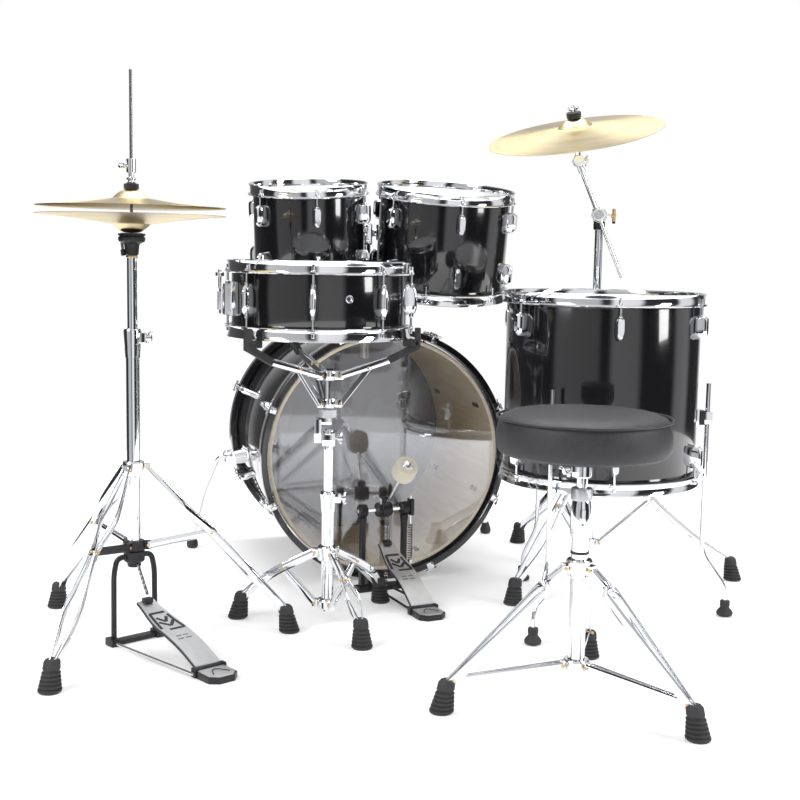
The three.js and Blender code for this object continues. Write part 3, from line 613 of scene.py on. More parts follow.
def tripod(name, legs, place, collar_look="chrome"):
    shape = Shape()
    tube, hub, collar, (strut_radius, strut_height) = (legs[key] for key in ("tube", "hub", "collar",
                                                                             "strut"))
    bore = tube + GAP
    for level, low, high, look in ((hub, -16, 14, "chrome"), (collar, -10, 10, collar_look)):
        profile = [(0, low), (6, low), (8, low + 3), (8, high - 3), (6, high), (0, high)]
        shape.ring(offset(profile, bore, level), look=look, sides=40)
    stations = smooth_stations(legs["path"])
    pivot, far = Vector((27, 0, collar)), Vector((strut_radius, 0, strut_height))
    for degrees in legs["feet"]:
        turn = turn_z(degrees)
        look = collar_look if degrees == legs["feet"][0] else "chrome"
        for side in (-1, 1):
            shape.strap([(r, side * s, z) for r, z, s in stations], 17, 2.6, turn)
            shape.strap([pivot + ACROSS * side * 5.8, far + ACROSS * side * 3], 14, 2.2, turn, look)
        shape.box((tube + 5, -5.5, hub - 11), (33, 5.5, hub + 9), turn, bevel=3)
        shape.box((tube + 5, -5, collar - 9), (32, 5, collar + 9), turn, collar_look, bevel=3)
        for point, reach in ((Vector((27, 0, hub - 1)), 9), (pivot, 9), (far, 10)):
            rivet(shape, turn @ Vector(point), turn.to_3x3() @ ACROSS, reach)
        rubber_foot(shape, legs["path"][-1][0], turn)
    shape.stand_for(name, place)


# ---- drums ----
def lug_angles(drum):
    return [drum["first"] + 360 / drum["lugs"] * k for k in range(drum["lugs"])]


def flanged_hoop(drum, edge, lug_top):
    """A triple-flanged hoop with its ears, washers and square-headed tension rods, on the top side."""
    shape = Shape()
    radius = drum["radius"]
    inner = radius + 4.3
    profile = [(inner, edge - 7), (inner + 6.2, edge - 7), (inner + 7.6, edge - 5.6),
               (inner + 6.6, edge - 4.2)]
    profile += [(inner + 3, edge - 3.4), (inner + 2.0, edge - 1), (inner + 2.2, edge + 6),
                (inner + 2.6, edge + 11)]
    profile += [(inner + 4.2, edge + 15), (inner + 5.2, edge + 17), (inner + 4, edge + HOOP_RISE)]
    profile += [(inner + 2.2, edge + 17), (inner + 0.4, edge + 13), (inner, edge + 11)]
    shape.ring(profile, sides=112)
    for angle in lug_angles(drum):
        turn = turn_z(angle)
        out = radius + 9.5
        shape.box((radius + 6, -11, edge - 6.4), (radius + 14.4, 11, edge - 2.6), turn, bevel=1.4)
        shape.rod((out, 0, lug_top + GAP), (out, 0, edge - 2), 2.4, turn, sides=12)
        shape.rod((out, 0, edge - 2.6), (out, 0, edge - 0.6), 4.9, turn, sides=20)
        shape.rod((out, 0, edge - 0.6), (out, 0, edge + 1.6), 4.2, turn, sides=20)
        shape.box((out - 2.9, -2.9, edge + 1.4), (out + 2.9, 2.9, edge + 9), turn, bevel=0.7)
    return shape


def mirrored(shape):
    """The same shape turned over to the drum's other end."""
    other = Shape()
    other.points = [Vector((p.x, -p.y, -p.z)) for p in shape.points]
    other.faces = [list(face) for face in shape.faces]
    other.looks = list(shape.looks)
    return other


def tom_lug(shape, radius, angle, end):
    """A rounded shield lug, blunt at the rod's end, with its swivel nut. end is the nut's mouth."""
    sign = 1 if end > 0 else -1
    middle = end - sign * LUG_LENGTH / 2
    turn = turn_z(angle)
    flip = Matrix.Identity(4) if sign > 0 else Matrix.Rotation(math.pi, 4, "X")
    place = turn @ shift(radius - 1, 0, middle) @ flip
    shield(shape, LUG_REACH, LUG_WIDTH / 2 - 0.6, LUG_LENGTH / 2 - 0.8, place)
    shape.rod((radius + 9.5, 0, end - sign * 9), (radius + 9.5, 0, end - sign * 0.2), 5, turn)


def shield(shape, reach, half_width, half_length, place):
    """A shield shape standing out along +X: blunt towards +Z and drawn to a round point at -Z."""
    rings, columns = [], 24
    for i in range(8):
        t = i / 7
        shrink = (1 - (t * 0.92) ** 3.2) ** 0.5
        wide = half_width * (0.35 + 0.65 * shrink)
        top = half_length * (1 - 0.06 * t ** 4) * (0.72 + 0.28 * shrink)
        bottom = half_length * (0.3 + 0.7 * shrink)
        ring = []
        for k in range(columns):
            angle = math.tau * k / columns
            c, s = math.cos(angle), math.sin(angle)
            across = wide * math.copysign(abs(c) ** (0.55 if s > 0 else 0.9), c)
            along = top * s ** 0.45 if s > 0 else -bottom * abs(s) ** 0.9
            ring.append(Vector((reach * t, across, along)))
        rings.append(ring)
    shape.add(*skin(rings), place)


def snare_lug(shape, radius, angle):
    """A long slender lug with a nut at each end."""
    turn = turn_z(angle)
    shape.dome(LUG_REACH - 0.6, 8.6, SNARE_LUG_HALF - 2, turn @ shift(radius - 1, 0, 0), square=0.62)
    for sign in (-1, 1):
        shape.rod((radius + 9.5, 0, sign * 12), (radius + 9.5, 0, sign * (SNARE_LUG_HALF - 0.3)), 5, turn)


def shell_wall(shape, radius, edge, sides=112):
    inner = radius - SHELL_WALL
    outside = [(radius - 3, edge - 0.4), (radius - 0.6, edge - 2.5), (radius, edge - 4)]
    outline = outside + [(r, -z) for r, z in reversed(outside)]
    shape.ring(outline + [(radius - 3.2, -edge + 0.6), (radius - 3.2, edge - 0.6)], look="gloss_black",
                sides=sides)
    inside = [(radius - 3.3, edge - 0.4), (inner, edge - 4), (inner, -edge + 4), (radius - 3.3, -edge + 0.4)]
    shape.ring(inside, look="inner_wood", sides=sides)


def drum_head(name, radius, edge, sign, look, place, crown=False):
    """A head: the film, its raised collar and the flesh hoop inside the counter hoop."""
    shape = Shape()
    base = edge + GAP
    profile = [(0, base + 1.4), (radius - 10, base + 1.4), (radius - 5, base + 1.7),
               (radius + 0.5, base + 1.1)]
    profile += [(radius + 3.6, base - 2), (radius + 3.6, base - 6), (radius + 0.4, base - 6)]
    profile += [(radius + 0.4, base + 0.2), (radius - 5, base + 0.4), (0, base + 0.4)]
    shape.lathe(profile, look=look, sides=112)
    if crown:
        shape.ring([(radius - 10, base + 1.3), (radius - 9, base + 1.75), (radius - 2.6, base + 1.75),
                     (radius - 2, base + 1.2)], look="inner_wood", sides=112)
    (shape if sign > 0 else mirrored(shape)).stand_for(name, place)


def flanged_drum(name, extras=None):
    drum = DRUMS[name]
    place, edge = drum_axes(name)
    radius = drum["radius"]
    double = name == "snare"
    lug_top = SNARE_LUG_HALF if double else edge - LUG_DROP
    shell = Shape()
    shell_wall(shell, radius, edge)
    for angle in lug_angles(drum):
        if double:
            snare_lug(shell, radius, angle)
        else:
            tom_lug(shell, radius, angle, lug_top)
            tom_lug(shell, radius, angle, -lug_top)
    if extras:
        extras(shell, radius, edge)
    shell.stand_for(name + "_shell", place)
    hoop = flanged_hoop(drum, edge, lug_top)
    hoop.stand_for(name + "_batter_hoop", place)
    mirrored(hoop).stand_for(name + "_resonant_hoop", place)
    drum_head(name + "_batter_head", radius, edge, 1, "drum_film", place)
    drum_head(name + "_resonant_head", radius, edge, -1, "drum_film", place)
    return place, edge


def vent(shape, radius, angle, height):
    """The air vent's grommet."""
    place = turn_z(angle) @ shift(radius, 0, height) @ turned("Y", 90)
    shape.ring([(3, -1), (7.5, -1), (7.5, 0.8), (6, 2), (4, 2), (3, 1)], place, sides=32)
    shape.rod((0, 0, -0.5), (0, 0, 0.4), 3.2, place, "dark_rod")


# ---- snare fittings ----
STRAINER_ANGLE = 22.5


def strainer_base(shape, radius, edge):
    turn = turn_z(STRAINER_ANGLE + 180)
    shape.box((radius - 2, -14, -34), (radius + 12, 14, 34), turn, bevel=3)
    shape.box((radius + 8, -9, -32), (radius + 22, 9, 30), turn, "knurled_chrome", bevel=2.5)
    for side in (-1, 1):
        shape.rod((radius + 12, side * 11, -26), (radius + 14, side * 11, -26), 3, turn)
        shape.rod((radius + 12, side * 11, 26), (radius + 14, side * 11, 26), 3, turn)
    butt = turn_z(STRAINER_ANGLE)
    shape.box((radius - 2, -13, -30), (radius + 11, 13, -6), butt, bevel=2.5)
    for side in (-1, 1):
        shape.rod((radius + 11, side * 7, -18), (radius + 14, side * 7, -18), 3.4, butt)
    vent(shape, radius, -67.5, 6)


def snare_parts():
    place, edge = flanged_drum("snare", strainer_base)
    radius = DRUMS["snare"]["radius"]
    lever = Shape()
    turn = turn_z(STRAINER_ANGLE + 180)
    lever.box((radius + 22.5, -8.5, -30), (radius + 30, 8.5, 24), turn, bevel=2.4)
    lever.box((radius + 29, -4, -22), (radius + 34, 4, 14), turn, "knurled_chrome", bevel=1.4)
    lever.rod((radius + 30, 0, 20), (radius + 30, 0, 46), 3.2, turn)
    lever.rod((radius + 30, 0, 44), (radius + 30, 0, 52), 8.4, turn, sides=28)
    lever.rod((radius + 30, 0, 52), (radius + 30, 0, 58), 3.6, turn)
    lever.stand_for("snare_strainer_lever", place)
    wires = Shape()
    bed = -edge - 2 - 2 * GAP
    for k in range(20):
        y = -19 + 2 * k
        wires.tube([(-132, y, bed - 1.3), (132, y, bed - 1.3)], 0.8, look="dark_rod", sides=6)
    for side in (-1, 1):
        wires.box((side * 132 - 8, -21, bed - 2.4), (side * 132 + 8, 21, bed - 0.1), bevel=0.6)
    wires.stand_for("snare_wires", place)


# ---- floor tom legs ----
def leg_brackets(shape, radius, edge):
    ring = FLOOR_LEGS["ring"]
    level = FLOOR_LEGS["clamp"] - drum_axes("floor_tom")[0].translation.z
    for angle in FLOOR_LEGS["angles"]:
        turn = turn_z(angle) @ shift(0, 0, level)
        shape.box((radius - 2, -15, -18), (radius + 6, 15, 18), turn, bevel=3)
        shape.box((radius + 5, -12, -15), (ring - 6.2, 12, 15), turn, "black_metal", bevel=2)
        for side in (-1, 1):
            low, high = sorted((side * 6.2, side * 12))
            shape.box((ring - 8, low, -13), (ring + 9, high, 13), turn, bevel=1.6)
        shape.rod((ring + 3, 12, 0), (ring + 3, 27, 0), 2.6, turn, "brass_trim")
        shape.box((ring - 2, 25, -7), (ring + 8, 29, 7), turn, "brass_trim", bevel=2)


def floor_tom_parts():
    place, _ = flanged_drum("floor_tom", leg_brackets)
    base = Matrix.Translation((place.translation.x, place.translation.y, 0))
    ring, foot, top = FLOOR_LEGS["ring"], FLOOR_LEGS["foot"], FLOOR_LEGS["top"]
    for k, angle in enumerate(FLOOR_LEGS["angles"]):
        leg = Shape()
        route = smooth_route([(ring, 0, top), (ring, 0, 140), (foot, 0, 62), (foot, 0, 14)], 26)
        turn = turn_z(angle)
        leg.tube(route, 4.8, turn, sides=16)
        shoe = [(0, 0), (11, 0), (16.5, 3), (17.6, 8), (15, 13), (10.5, 18), (9.5, 21), (10.5, 23),
                (10.5, 33)]
        leg.lathe(shoe + [(8, 35), (0, 35)], turn @ shift(foot, 0, 0), "rubber", sides=32)
        leg.stand_for(f"floor_tom_leg_{k + 1}", base)


# ---- bass drum ----
def bass_parts():
    radius, length, hoop_radius = BASS["radius"], BASS["length"], BASS["hoop"]
    middle = length / 2
    edge = middle - BASS["set"]
    place = BASS_PLACE @ shift(0, middle, hoop_radius) @ turned("X", -90)
    claw_angles = [22.5 + 45 * k for k in range(BASS["lugs"])]
    shell = Shape()
    shell_wall(shell, radius, edge, sides=144)
    for angle in claw_angles:
        turn = turn_z(angle)
        for sign in (-1, 1):
            spot = sign * (edge - 75)
            shell.dome(25, 10, 22, turn @ shift(radius - 1, 0, spot))
            shell.rod((radius + 23.5, 0, spot + sign * 2), (radius + 23.5, 0, spot + sign * 22.6), 5.4, turn)
            for bolt in (-11, 11):
                shell.rod((radius - SHELL_WALL - 4, 0, spot + bolt), (radius - SHELL_WALL, 0, spot + bolt),
                          6.5, turn, "dark_rod", sides=16)
    lean = math.degrees(math.asin((hoop_radius - SPUR["height"]) / radius))
    for angle in (lean, 180 - lean):
        turn = turn_z(angle) @ shift(0, 0, SPUR["along"] - middle)
        shell.box((radius - 3, -26, -34), (radius + 6, 26, 34), turn, bevel=4)
        shell.rod((radius + 4, 0, 0), (radius + 34, 0, 0), 19, turn, sides=36, end_radius=16)
        for bolt in (-25, 25):
            shell.rod((radius + 5, 12, bolt), (radius + 9, 12, bolt), 4.5, turn)
    spot = BASS_PLACE.inverted() @ POST_AT
    base = shift(spot.x, 0, spot.y - middle)
    shell.box((-24, -radius - 9, -32), (24, -radius + 6, 32), base, bevel=4)
    shell.pipe(11.8, 21, 0, 12, base @ shift(0, -radius - 2, 0) @ turned("X", 90))
    wing_screw(shell, base @ shift(22, -radius - 8, 0), 14, 28)
    shell.stand_for("bass_shell", place)

    hoop = Shape()
    inner = hoop_radius - BASS["wall"]
    near, far = -middle, -middle + BASS["width"]
    profile = [(inner, near + 1.5), (inner + 1.5, near), (hoop_radius - 2, near),
               (hoop_radius - 0.4, near + 1.6)]
    profile += [(hoop_radius, near + 4), (hoop_radius, far - 4), (hoop_radius - 1.6, far), (inner, far)]
    hoop.ring(profile, look="hoop_black", sides=160)
    hoop.ring([(hoop_radius - 0.2, near + 17), (hoop_radius + 0.1, near + 17.4),
               (hoop_radius + 0.1, near + 22.6),
                (hoop_radius - 0.2, near + 23)], look="knurled_chrome", sides=160)
    for angle in claw_angles:
        turn = turn_z(angle)
        claw_side = [(inner + 1, near - 1.8), (hoop_radius + 1.5, near - 1.8), (hoop_radius + 5, near + 2)]
        claw_side += [(hoop_radius + 6, near + 20), (hoop_radius + 11.5, near + 24),
                      (hoop_radius + 11.5, near + 32)]
        claw_side += [(hoop_radius + 3, near + 32), (hoop_radius + 0.6, near + 24),
                      (hoop_radius + 0.6, near + 0.2)]
        claw_side += [(inner + 1, near + 0.2)]
        flat = Matrix(((1, 0, 0, 0), (0, 0, -1, 8), (0, 1, 0, 0), (0, 0, 0, 1)))
        hoop.prism(claw_side, 16, turn @ flat, bevel=0.7)
        out = hoop_radius + 6
        hoop.rod((out, 0, near + 2), (out, 0, -edge + 52 - GAP), 3, turn, sides=12)
        hoop.rod((out, 0, near + 14), (out, 0, near + 21), 5.4, turn)
        hoop.tube(smooth_route([(out, -14, near + 3), (out, 0, near + 6), (out, 14, near + 3)], 5),
                  2.9, turn, sides=10)
    hoop.stand_for("bass_batter_hoop", place)
    mirrored(hoop).stand_for("bass_resonant_hoop", place)

    for name, look, sign in (("bass_batter_head", "clear_film", -1), ("bass_resonant_head", "black_film", 1)):
        drum_head(name, radius, edge, sign, look, place, crown=sign < 0)
    for name, side in (("bass_spur_left", -1), ("bass_spur_right", 1)):
        bass_spur(name, side)


def bass_spur(name, side):
    shape = Shape()
    root = BASS["radius"] + 36 + GAP
    along, height = SPUR["along"], SPUR["height"]
    hub = [(side * root, along, height), (side * (root + 13), along, height)]
    shape.rod(*hub, 17, sides=40, end_radius=14)
    shape.rod((side * (root + 12), along, height), (side * (root + 20), along, height), 7)
    shape.tube(smooth_route([(side * (root + 17), along, height + 14),
                             (side * (root + 20), along, height - 2),
                             (side * (root + 17), along, height - 16)], 8), 3.4)
    route = [(side * (root + 4), along, height), (side * (root + 32), along + 6, height - 4)]
    route += [(side * (SPUR["reach"] - 26), SPUR["foot"] - 26, 150), (side * SPUR["reach"], SPUR["foot"], 22)]
    shape.tube(smooth_route(route, 30), 5.6, sides=16)
    boot = [(0, 0), (9, 0), (13.5, 3), (14.8, 9), (14, 16), (11, 24), (9, 30), (7.4, 32), (0, 32)]
    shape.lathe(boot, shift(side * SPUR["reach"], SPUR["foot"], 0), "rubber", sides=32)
    shape.stand_for(name, BASS_PLACE)


# ---- tom holder ----
def tom_holder():
    post = Shape()
    low, high = corner("tom_holder_post").z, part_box("tom_holder_post")[1].z / MM
    post.lathe([(0, low), (10, low), (11, low + 1), (11, high - 40), (0, high - 40)])
    post.box((-15, -17, high - 52), (15, 17, high), bevel=5)
    post.pipe(11.2, 16, 616, 640)
    wing_screw(post, turn_z(-90) @ shift(16, 0, high - 16), 8, 28)
    wing_screw(post, turn_z(90) @ shift(16, 0, high - 34), 8, 28)
    wing_screw(post, turn_z(-60) @ shift(15, 0, 628), 8, 24)
    post.stand_for("tom_holder_post", stand(POST_AT.x, POST_AT.y))
    for name, drum, side in (("tom_holder_arm_left", "small_tom", -1),
                             ("tom_holder_arm_right", "middle_tom", 1)):
        arm = Shape()
        root = Vector((POST_AT.x + side * (15 + GAP), POST_AT.y - 4, 816))
        knee = root + Vector((side * 11, 0, 0))
        tom = drum_axes(drum)[0].translation
        across = Vector((tom.x - POST_AT.x, tom.y - POST_AT.y, 0))
        reach = across.length
        across.normalize()
        plate = Vector((POST_AT.x, POST_AT.y, 816)) + across * (reach - DRUMS[drum]["radius"] - 9)
        arm.rod(root, knee, 12, sides=32, end_radius=9)
        arm.rod(knee - Vector((side * 3, 0, 0)), plate, 6.4, sides=6)
        turn = Matrix.Translation(plate) @ turn_z(math.degrees(math.atan2(across.y, across.x)))
        arm.box((-5.5, -17, -19.4), (5.5, 17, 19.4), turn, bevel=4)
        arm.rod((-12, 0, 0), (-4, 0, 0), 11, turn, sides=32)
        arm.stand_for(name)


# ---- cymbals ----
def cymbal_shape(radius, rise, hole, sign=1):
    """A thin plate with a bell, gently bowed, opening downwards, or upwards when sign is -1."""
    bell = 0.2 * radius
    top = []
    for k in range(9):
        t = k / 8
        top.append((hole + (bell - hole) * t, rise - rise * 0.5 * (1 - math.cos(t * math.pi / 2.1)) / 0.93))
    start = top[-1][1]
    for k in range(1, 15):
        t = k / 14
        top.append((bell + (radius - bell) * t, start * (1 - t) ** 1.35 + 0.2))
    under = [(r, z - (1.1 if r < radius - 6 else 0.8)) for r, z in reversed(top)]
    shape = Shape()
    shape.ring([(r, sign * z) for r, z in top + under], look="bronze", sides=144)
    return shape


# ---- hi-hat ----
def hihat_parts():
    tripod("hihat_tripod", HIHAT_LEGS, HIHAT_PLACE, "black_metal")
    lower_tube("hihat_lower_tube", HIHAT_PLACE, 192, 560, 615)
    upper = Shape()
    upper.pipe(5.2, 9.5, 430, 758)
    cup = [(5.2, 755), (10.5, 755), (12.5, 757), (14, 772), (15, 776), (24, 781), (25.4, 784), (25.4, 789)]
    cup += [(23, 790.5), (23, 791.5), (25.6, 792.5), (25.6, 796), (5.2, 796)]
    upper.ring(cup, look="black_metal")
    upper.pipe(9.6, 11, 750, 755, look="brass_trim")
    upper.ring([(5.2, 796), (20, 796), (21, 797), (5.2, 797.2)], look="black_felt")
    upper.rod((-17, 0, 764), (-19, 0, 780), 2.6, look="dark_rod")
    upper.rod((-15.6, 0, 754), (-17.2, 0, 766), 4.6, look="black_metal")
    upper.stand_for("hihat_upper_tube", HIHAT_PLACE)
    rod = Shape()
    rod.rod((0, 0, 176), (0, 0, 1101), 2.9, look="dark_rod", sides=16)
    chain(rod, (0, 0, 176), turn_z(HIHAT_PEDAL["heading"]) @ Vector((0, HIHAT_PEDAL["toe"][0] - 8, 104)), 9)
    rod.stand_for("hihat_pull_rod", HIHAT_PLACE)
    edge = corner("hihat_clutch").z - 19
    crown = edge + 33
    place = HIHAT_PLACE @ shift(0, 0, edge)
    cymbal_shape(178, 33, 7.5).stand_for("hihat_top_cymbal", place)
    place = HIHAT_PLACE @ shift(0, 0, edge - 15.5)
    cymbal_shape(178, 33, 9, -1).stand_for("hihat_bottom_cymbal", place)
    clutch = Shape()
    clutch.ring([(3.2, crown - 14), (11, crown - 14), (12, crown - 12), (12, crown - 8), (6.6, crown - 7),
                  (6.6, crown + 12), (3.2, crown + 12)])
    clutch.ring([(6.7, crown + GAP), (14, crown + GAP), (14.4, crown + 2), (14.4, crown + 9),
                 (13.4, crown + 10.5),
                  (6.7, crown + 10.5)], look="black_felt")
    clutch.ring([(3.2, crown + 10.6), (9, crown + 10.6), (9.6, crown + 12), (6, crown + 14), (6, crown + 17),
                  (9, crown + 18.5), (9, crown + 21), (5, crown + 23), (5, 911), (3.2, 911)])
    clutch.pipe(3.1, 9, 910, 936)
    wing_screw(clutch, turn_z(180) @ shift(8, 0, 925) @ turned("X", 70), 8, 24)
    clutch.stand_for("hihat_clutch", HIHAT_PLACE)
    place = HIHAT_PLACE @ turn_z(HIHAT_PEDAL["heading"])
    pedal = Shape()
    pedal.ring([(8, 160), (18, 160), (20.5, 163), (20.5, 181), (8, 181.5)], look="black_metal")
    pedal.ring([(6, 150), (12, 150), (13.5, 153), (13.5, 161), (6, 161)], look="black_metal")
    for side in (-1, 1):
        arch = [(side * 14, 0, 172), (side * 38, 0, 170), (side * 45, 0, 140), (side * 46, 0, 6)]
        pedal.tube(smooth_route(arch, 22), 5.4, look="black_metal", sides=14)
        pedal.box((side * 50 - 9, -16, 0), (side * 50 + 9, 12, 15), look="black_metal", bevel=2.5)
        pedal.rod((side * 52, -10, 8), (side * 36, HIHAT_PEDAL["hinge"] - 6, 9), 2.7)
        pedal.rod((side * 50 - 6, -10, 9), (side * 50 + 6, -10, 9), 6)
    pedal.box((-46, -12, 1), (46, 9, 10), look="black_metal", bevel=2)
    heel_plate(pedal, HIHAT_PEDAL)
    pedal.stand_for("hihat_pedal_frame", place)
    board = Shape()
    footboard(board, HIHAT_PEDAL)
    board.stand_for("hihat_footboard", place)


def chain(shape, start, end, links, double=False, width=5.5):
    """A roller chain as alternating upright links from start to end."""
    start, end = Vector(start), Vector(end)
    step = (end - start) / links
    along = step.normalized()
    turn = aligned(along)
    half = step.length * 0.62
    for row in ((-width * 0.6, width * 0.6) if double else (0,)):
        for k in range(links):
            here = start + step * (k + 0.5)
            wide = width * (0.62 if k % 2 else 0.46)
            for side in (-1, 1):
                place = Matrix.Translation(here) @ turn @ shift(row + side * wide * 0.7, 0, 0)
                outline = []
                for i in range(12):
                    angle = math.pi * 2 * i / 12
                    offset = half - 2.4 if math.sin(angle) > 0 else 2.4 - half
                    outline.append((2.5 * math.cos(angle), offset + 2.5 * math.sin(angle)))
                flat = Matrix(((0, 0, 1, -0.6), (1, 0, 0, 0), (0, 1, 0, 0), (0, 0, 0, 1)))
                shape.prism(outline, 1.2, place @ flat, "dark_rod", bevel=0.25)
            joint = start + step * (k + 1)
            across = turn.to_3x3() @ Vector((1, 0, 0))
            if k < links - 1:
                middle = joint + across * row
                shape.rod(middle - across * width * 0.55, middle + across * width * 0.55, 1.9, sides=10)


# ---- pedals ----
def board_surface(pedal, along, across, lift=0.0):
    """A point on the board: along runs 0 at the hinge to 1 at the toe, across is in millimetres."""
    hinge, (toe_y, toe_z), height = pedal["hinge"], pedal["toe"], pedal["height"]
    curve = ((0, 0), (0.25, 0.3), (0.5, 0.63), (0.75, 0.86), (1, 1))
    rise = 1.0
    for (u0, v0), (u1, v1) in zip(curve, curve[1:]):
        if along <= u1:
            t = (along - u0) / (u1 - u0)
            rise = v0 + (v1 - v0) * t
            break
    smooth = along + 0.09 * math.sin(2 * math.pi * along)
    rise = 0.3 * rise + 0.7 * min(1.0, smooth * 0.9 + 0.1 * along)
    return Vector((across, hinge + along * (toe_y - hinge), height + rise * (toe_z - height) - 1 + lift))


def board_half_width(along):
    """Half the board's width: full at the heel, waisted towards the toe."""
    if along < 0.6:
        return 27.6
    t = (along - 0.6) / 0.4
    return 27.6 - 8.6 * (3 * t ** 2 - 2 * t ** 3)


def board_slab(shape, pedal, look, lift, thick, inset, start=0.0, end=1.0, steps=28):
    """A slab that follows the board's top, between two places along it."""
    rings, columns = [], 7
    for i in range(steps + 1):
        along = start + (end - start) * i / steps
        half = board_half_width(along) - inset
        row = [half * (2 * k / (columns - 1) - 1) for k in range(columns)]
        rings.append([board_surface(pedal, along, x, lift) for x in row]
                     + [board_surface(pedal, along, x, lift - thick) for x in reversed(row)])
    shape.add(*skin(rings), look=look)


def board_line(shape, pedal, corners, width):
    """A printed line on the board, through (along, across) corners."""
    length = pedal["toe"][0] - pedal["hinge"]
    edges = ((1, 0.25), (-1, 0.25), (-1, -1.5), (1, -1.5))
    for first, second in zip(corners, corners[1:]):
        first, second = Vector(first), Vector(second)
        run = Vector(((second.x - first.x) * length, second.y - first.y))
        normal = Vector((-run.y, run.x)).normalized() * width / 2
        steps = max(2, int(run.length / 4))
        rings = []
        for i in range(steps + 1):
            middle = first.lerp(second, i / steps)
            spots = [(middle.x + side * normal.x / length, middle.y + side * normal.y, lift) for side,
                     lift in edges]
            rings.append([board_surface(pedal, *spot) for spot in spots])
        shape.add(*skin(rings), look="board_print")


def footboard(shape, pedal):
    board_slab(shape, pedal, "black_metal", -2.2, 4.6, 0)
    board_slab(shape, pedal, "board_aluminium", 0, 2.4, 1.2, 0.01, 0.99)
    board_line(shape, pedal, [(0.80, 15), (0.80, -17), (0.55, -23)], 6)
    board_line(shape, pedal, [(0.76, 16), (0.52, 22), (0.52, -10)], 6)
    board_line(shape, pedal, [(0.73, -12), (0.655, 0), (0.73, 10)], 6.5)
    board_line(shape, pedal, [(0.66, -15), (0.58, 1), (0.66, 16)], 6.5)
    for along, reach in ((0.4, 13), (0.355, 15)):
        board_line(shape, pedal, [(along, -reach), (along, -2)], 2)
        board_line(shape, pedal, [(along, 2), (along, reach)], 2)
    toe = board_surface(pedal, 0.965, 0)
    shape.box(toe + Vector((-9, -8, -1)), toe + Vector((9, 6, 9)), look="black_metal", bevel=2)


def heel_plate(shape, pedal):
    """The plate that lies on the floor, its bright top and the hinge knuckles."""
    hinge, end, height = pedal["hinge"], pedal["end"], pedal["height"]
    outline = [(-30, hinge - 5), (30, hinge - 5), (30, end + 14), (16, end), (-16, end), (-30, end + 14)]
    shape.prism([(x * 1.04, y) for x, y in outline], height - 8, look="black_metal", bevel=1.6)
    top = [(x * 0.94, y + (3 if y < hinge - 20 else -1)) for x, y in outline]
    shape.prism(top, 3, shift(0, 0, height - 9), "board_aluminium", bevel=1)
    arch = []
    for k in range(15):
        t = k / 14 * 2 - 1
        arch.append((17 * t, end + 18 + 24 * (1 - abs(t) ** 1.8), height - 5.6))
    shape.tube(arch, 1.1, look="board_print", sides=8)
    shape.rod((-31, hinge, height - 6), (31, hinge, height - 6), 3.4, look="black_metal")
    for side in (-1, 1):
        low, high = sorted((side * 28.6, side * 34))
        shape.box((low, hinge - 8, 1), (high, hinge + 6, height - 2), look="black_metal", bevel=1.6)


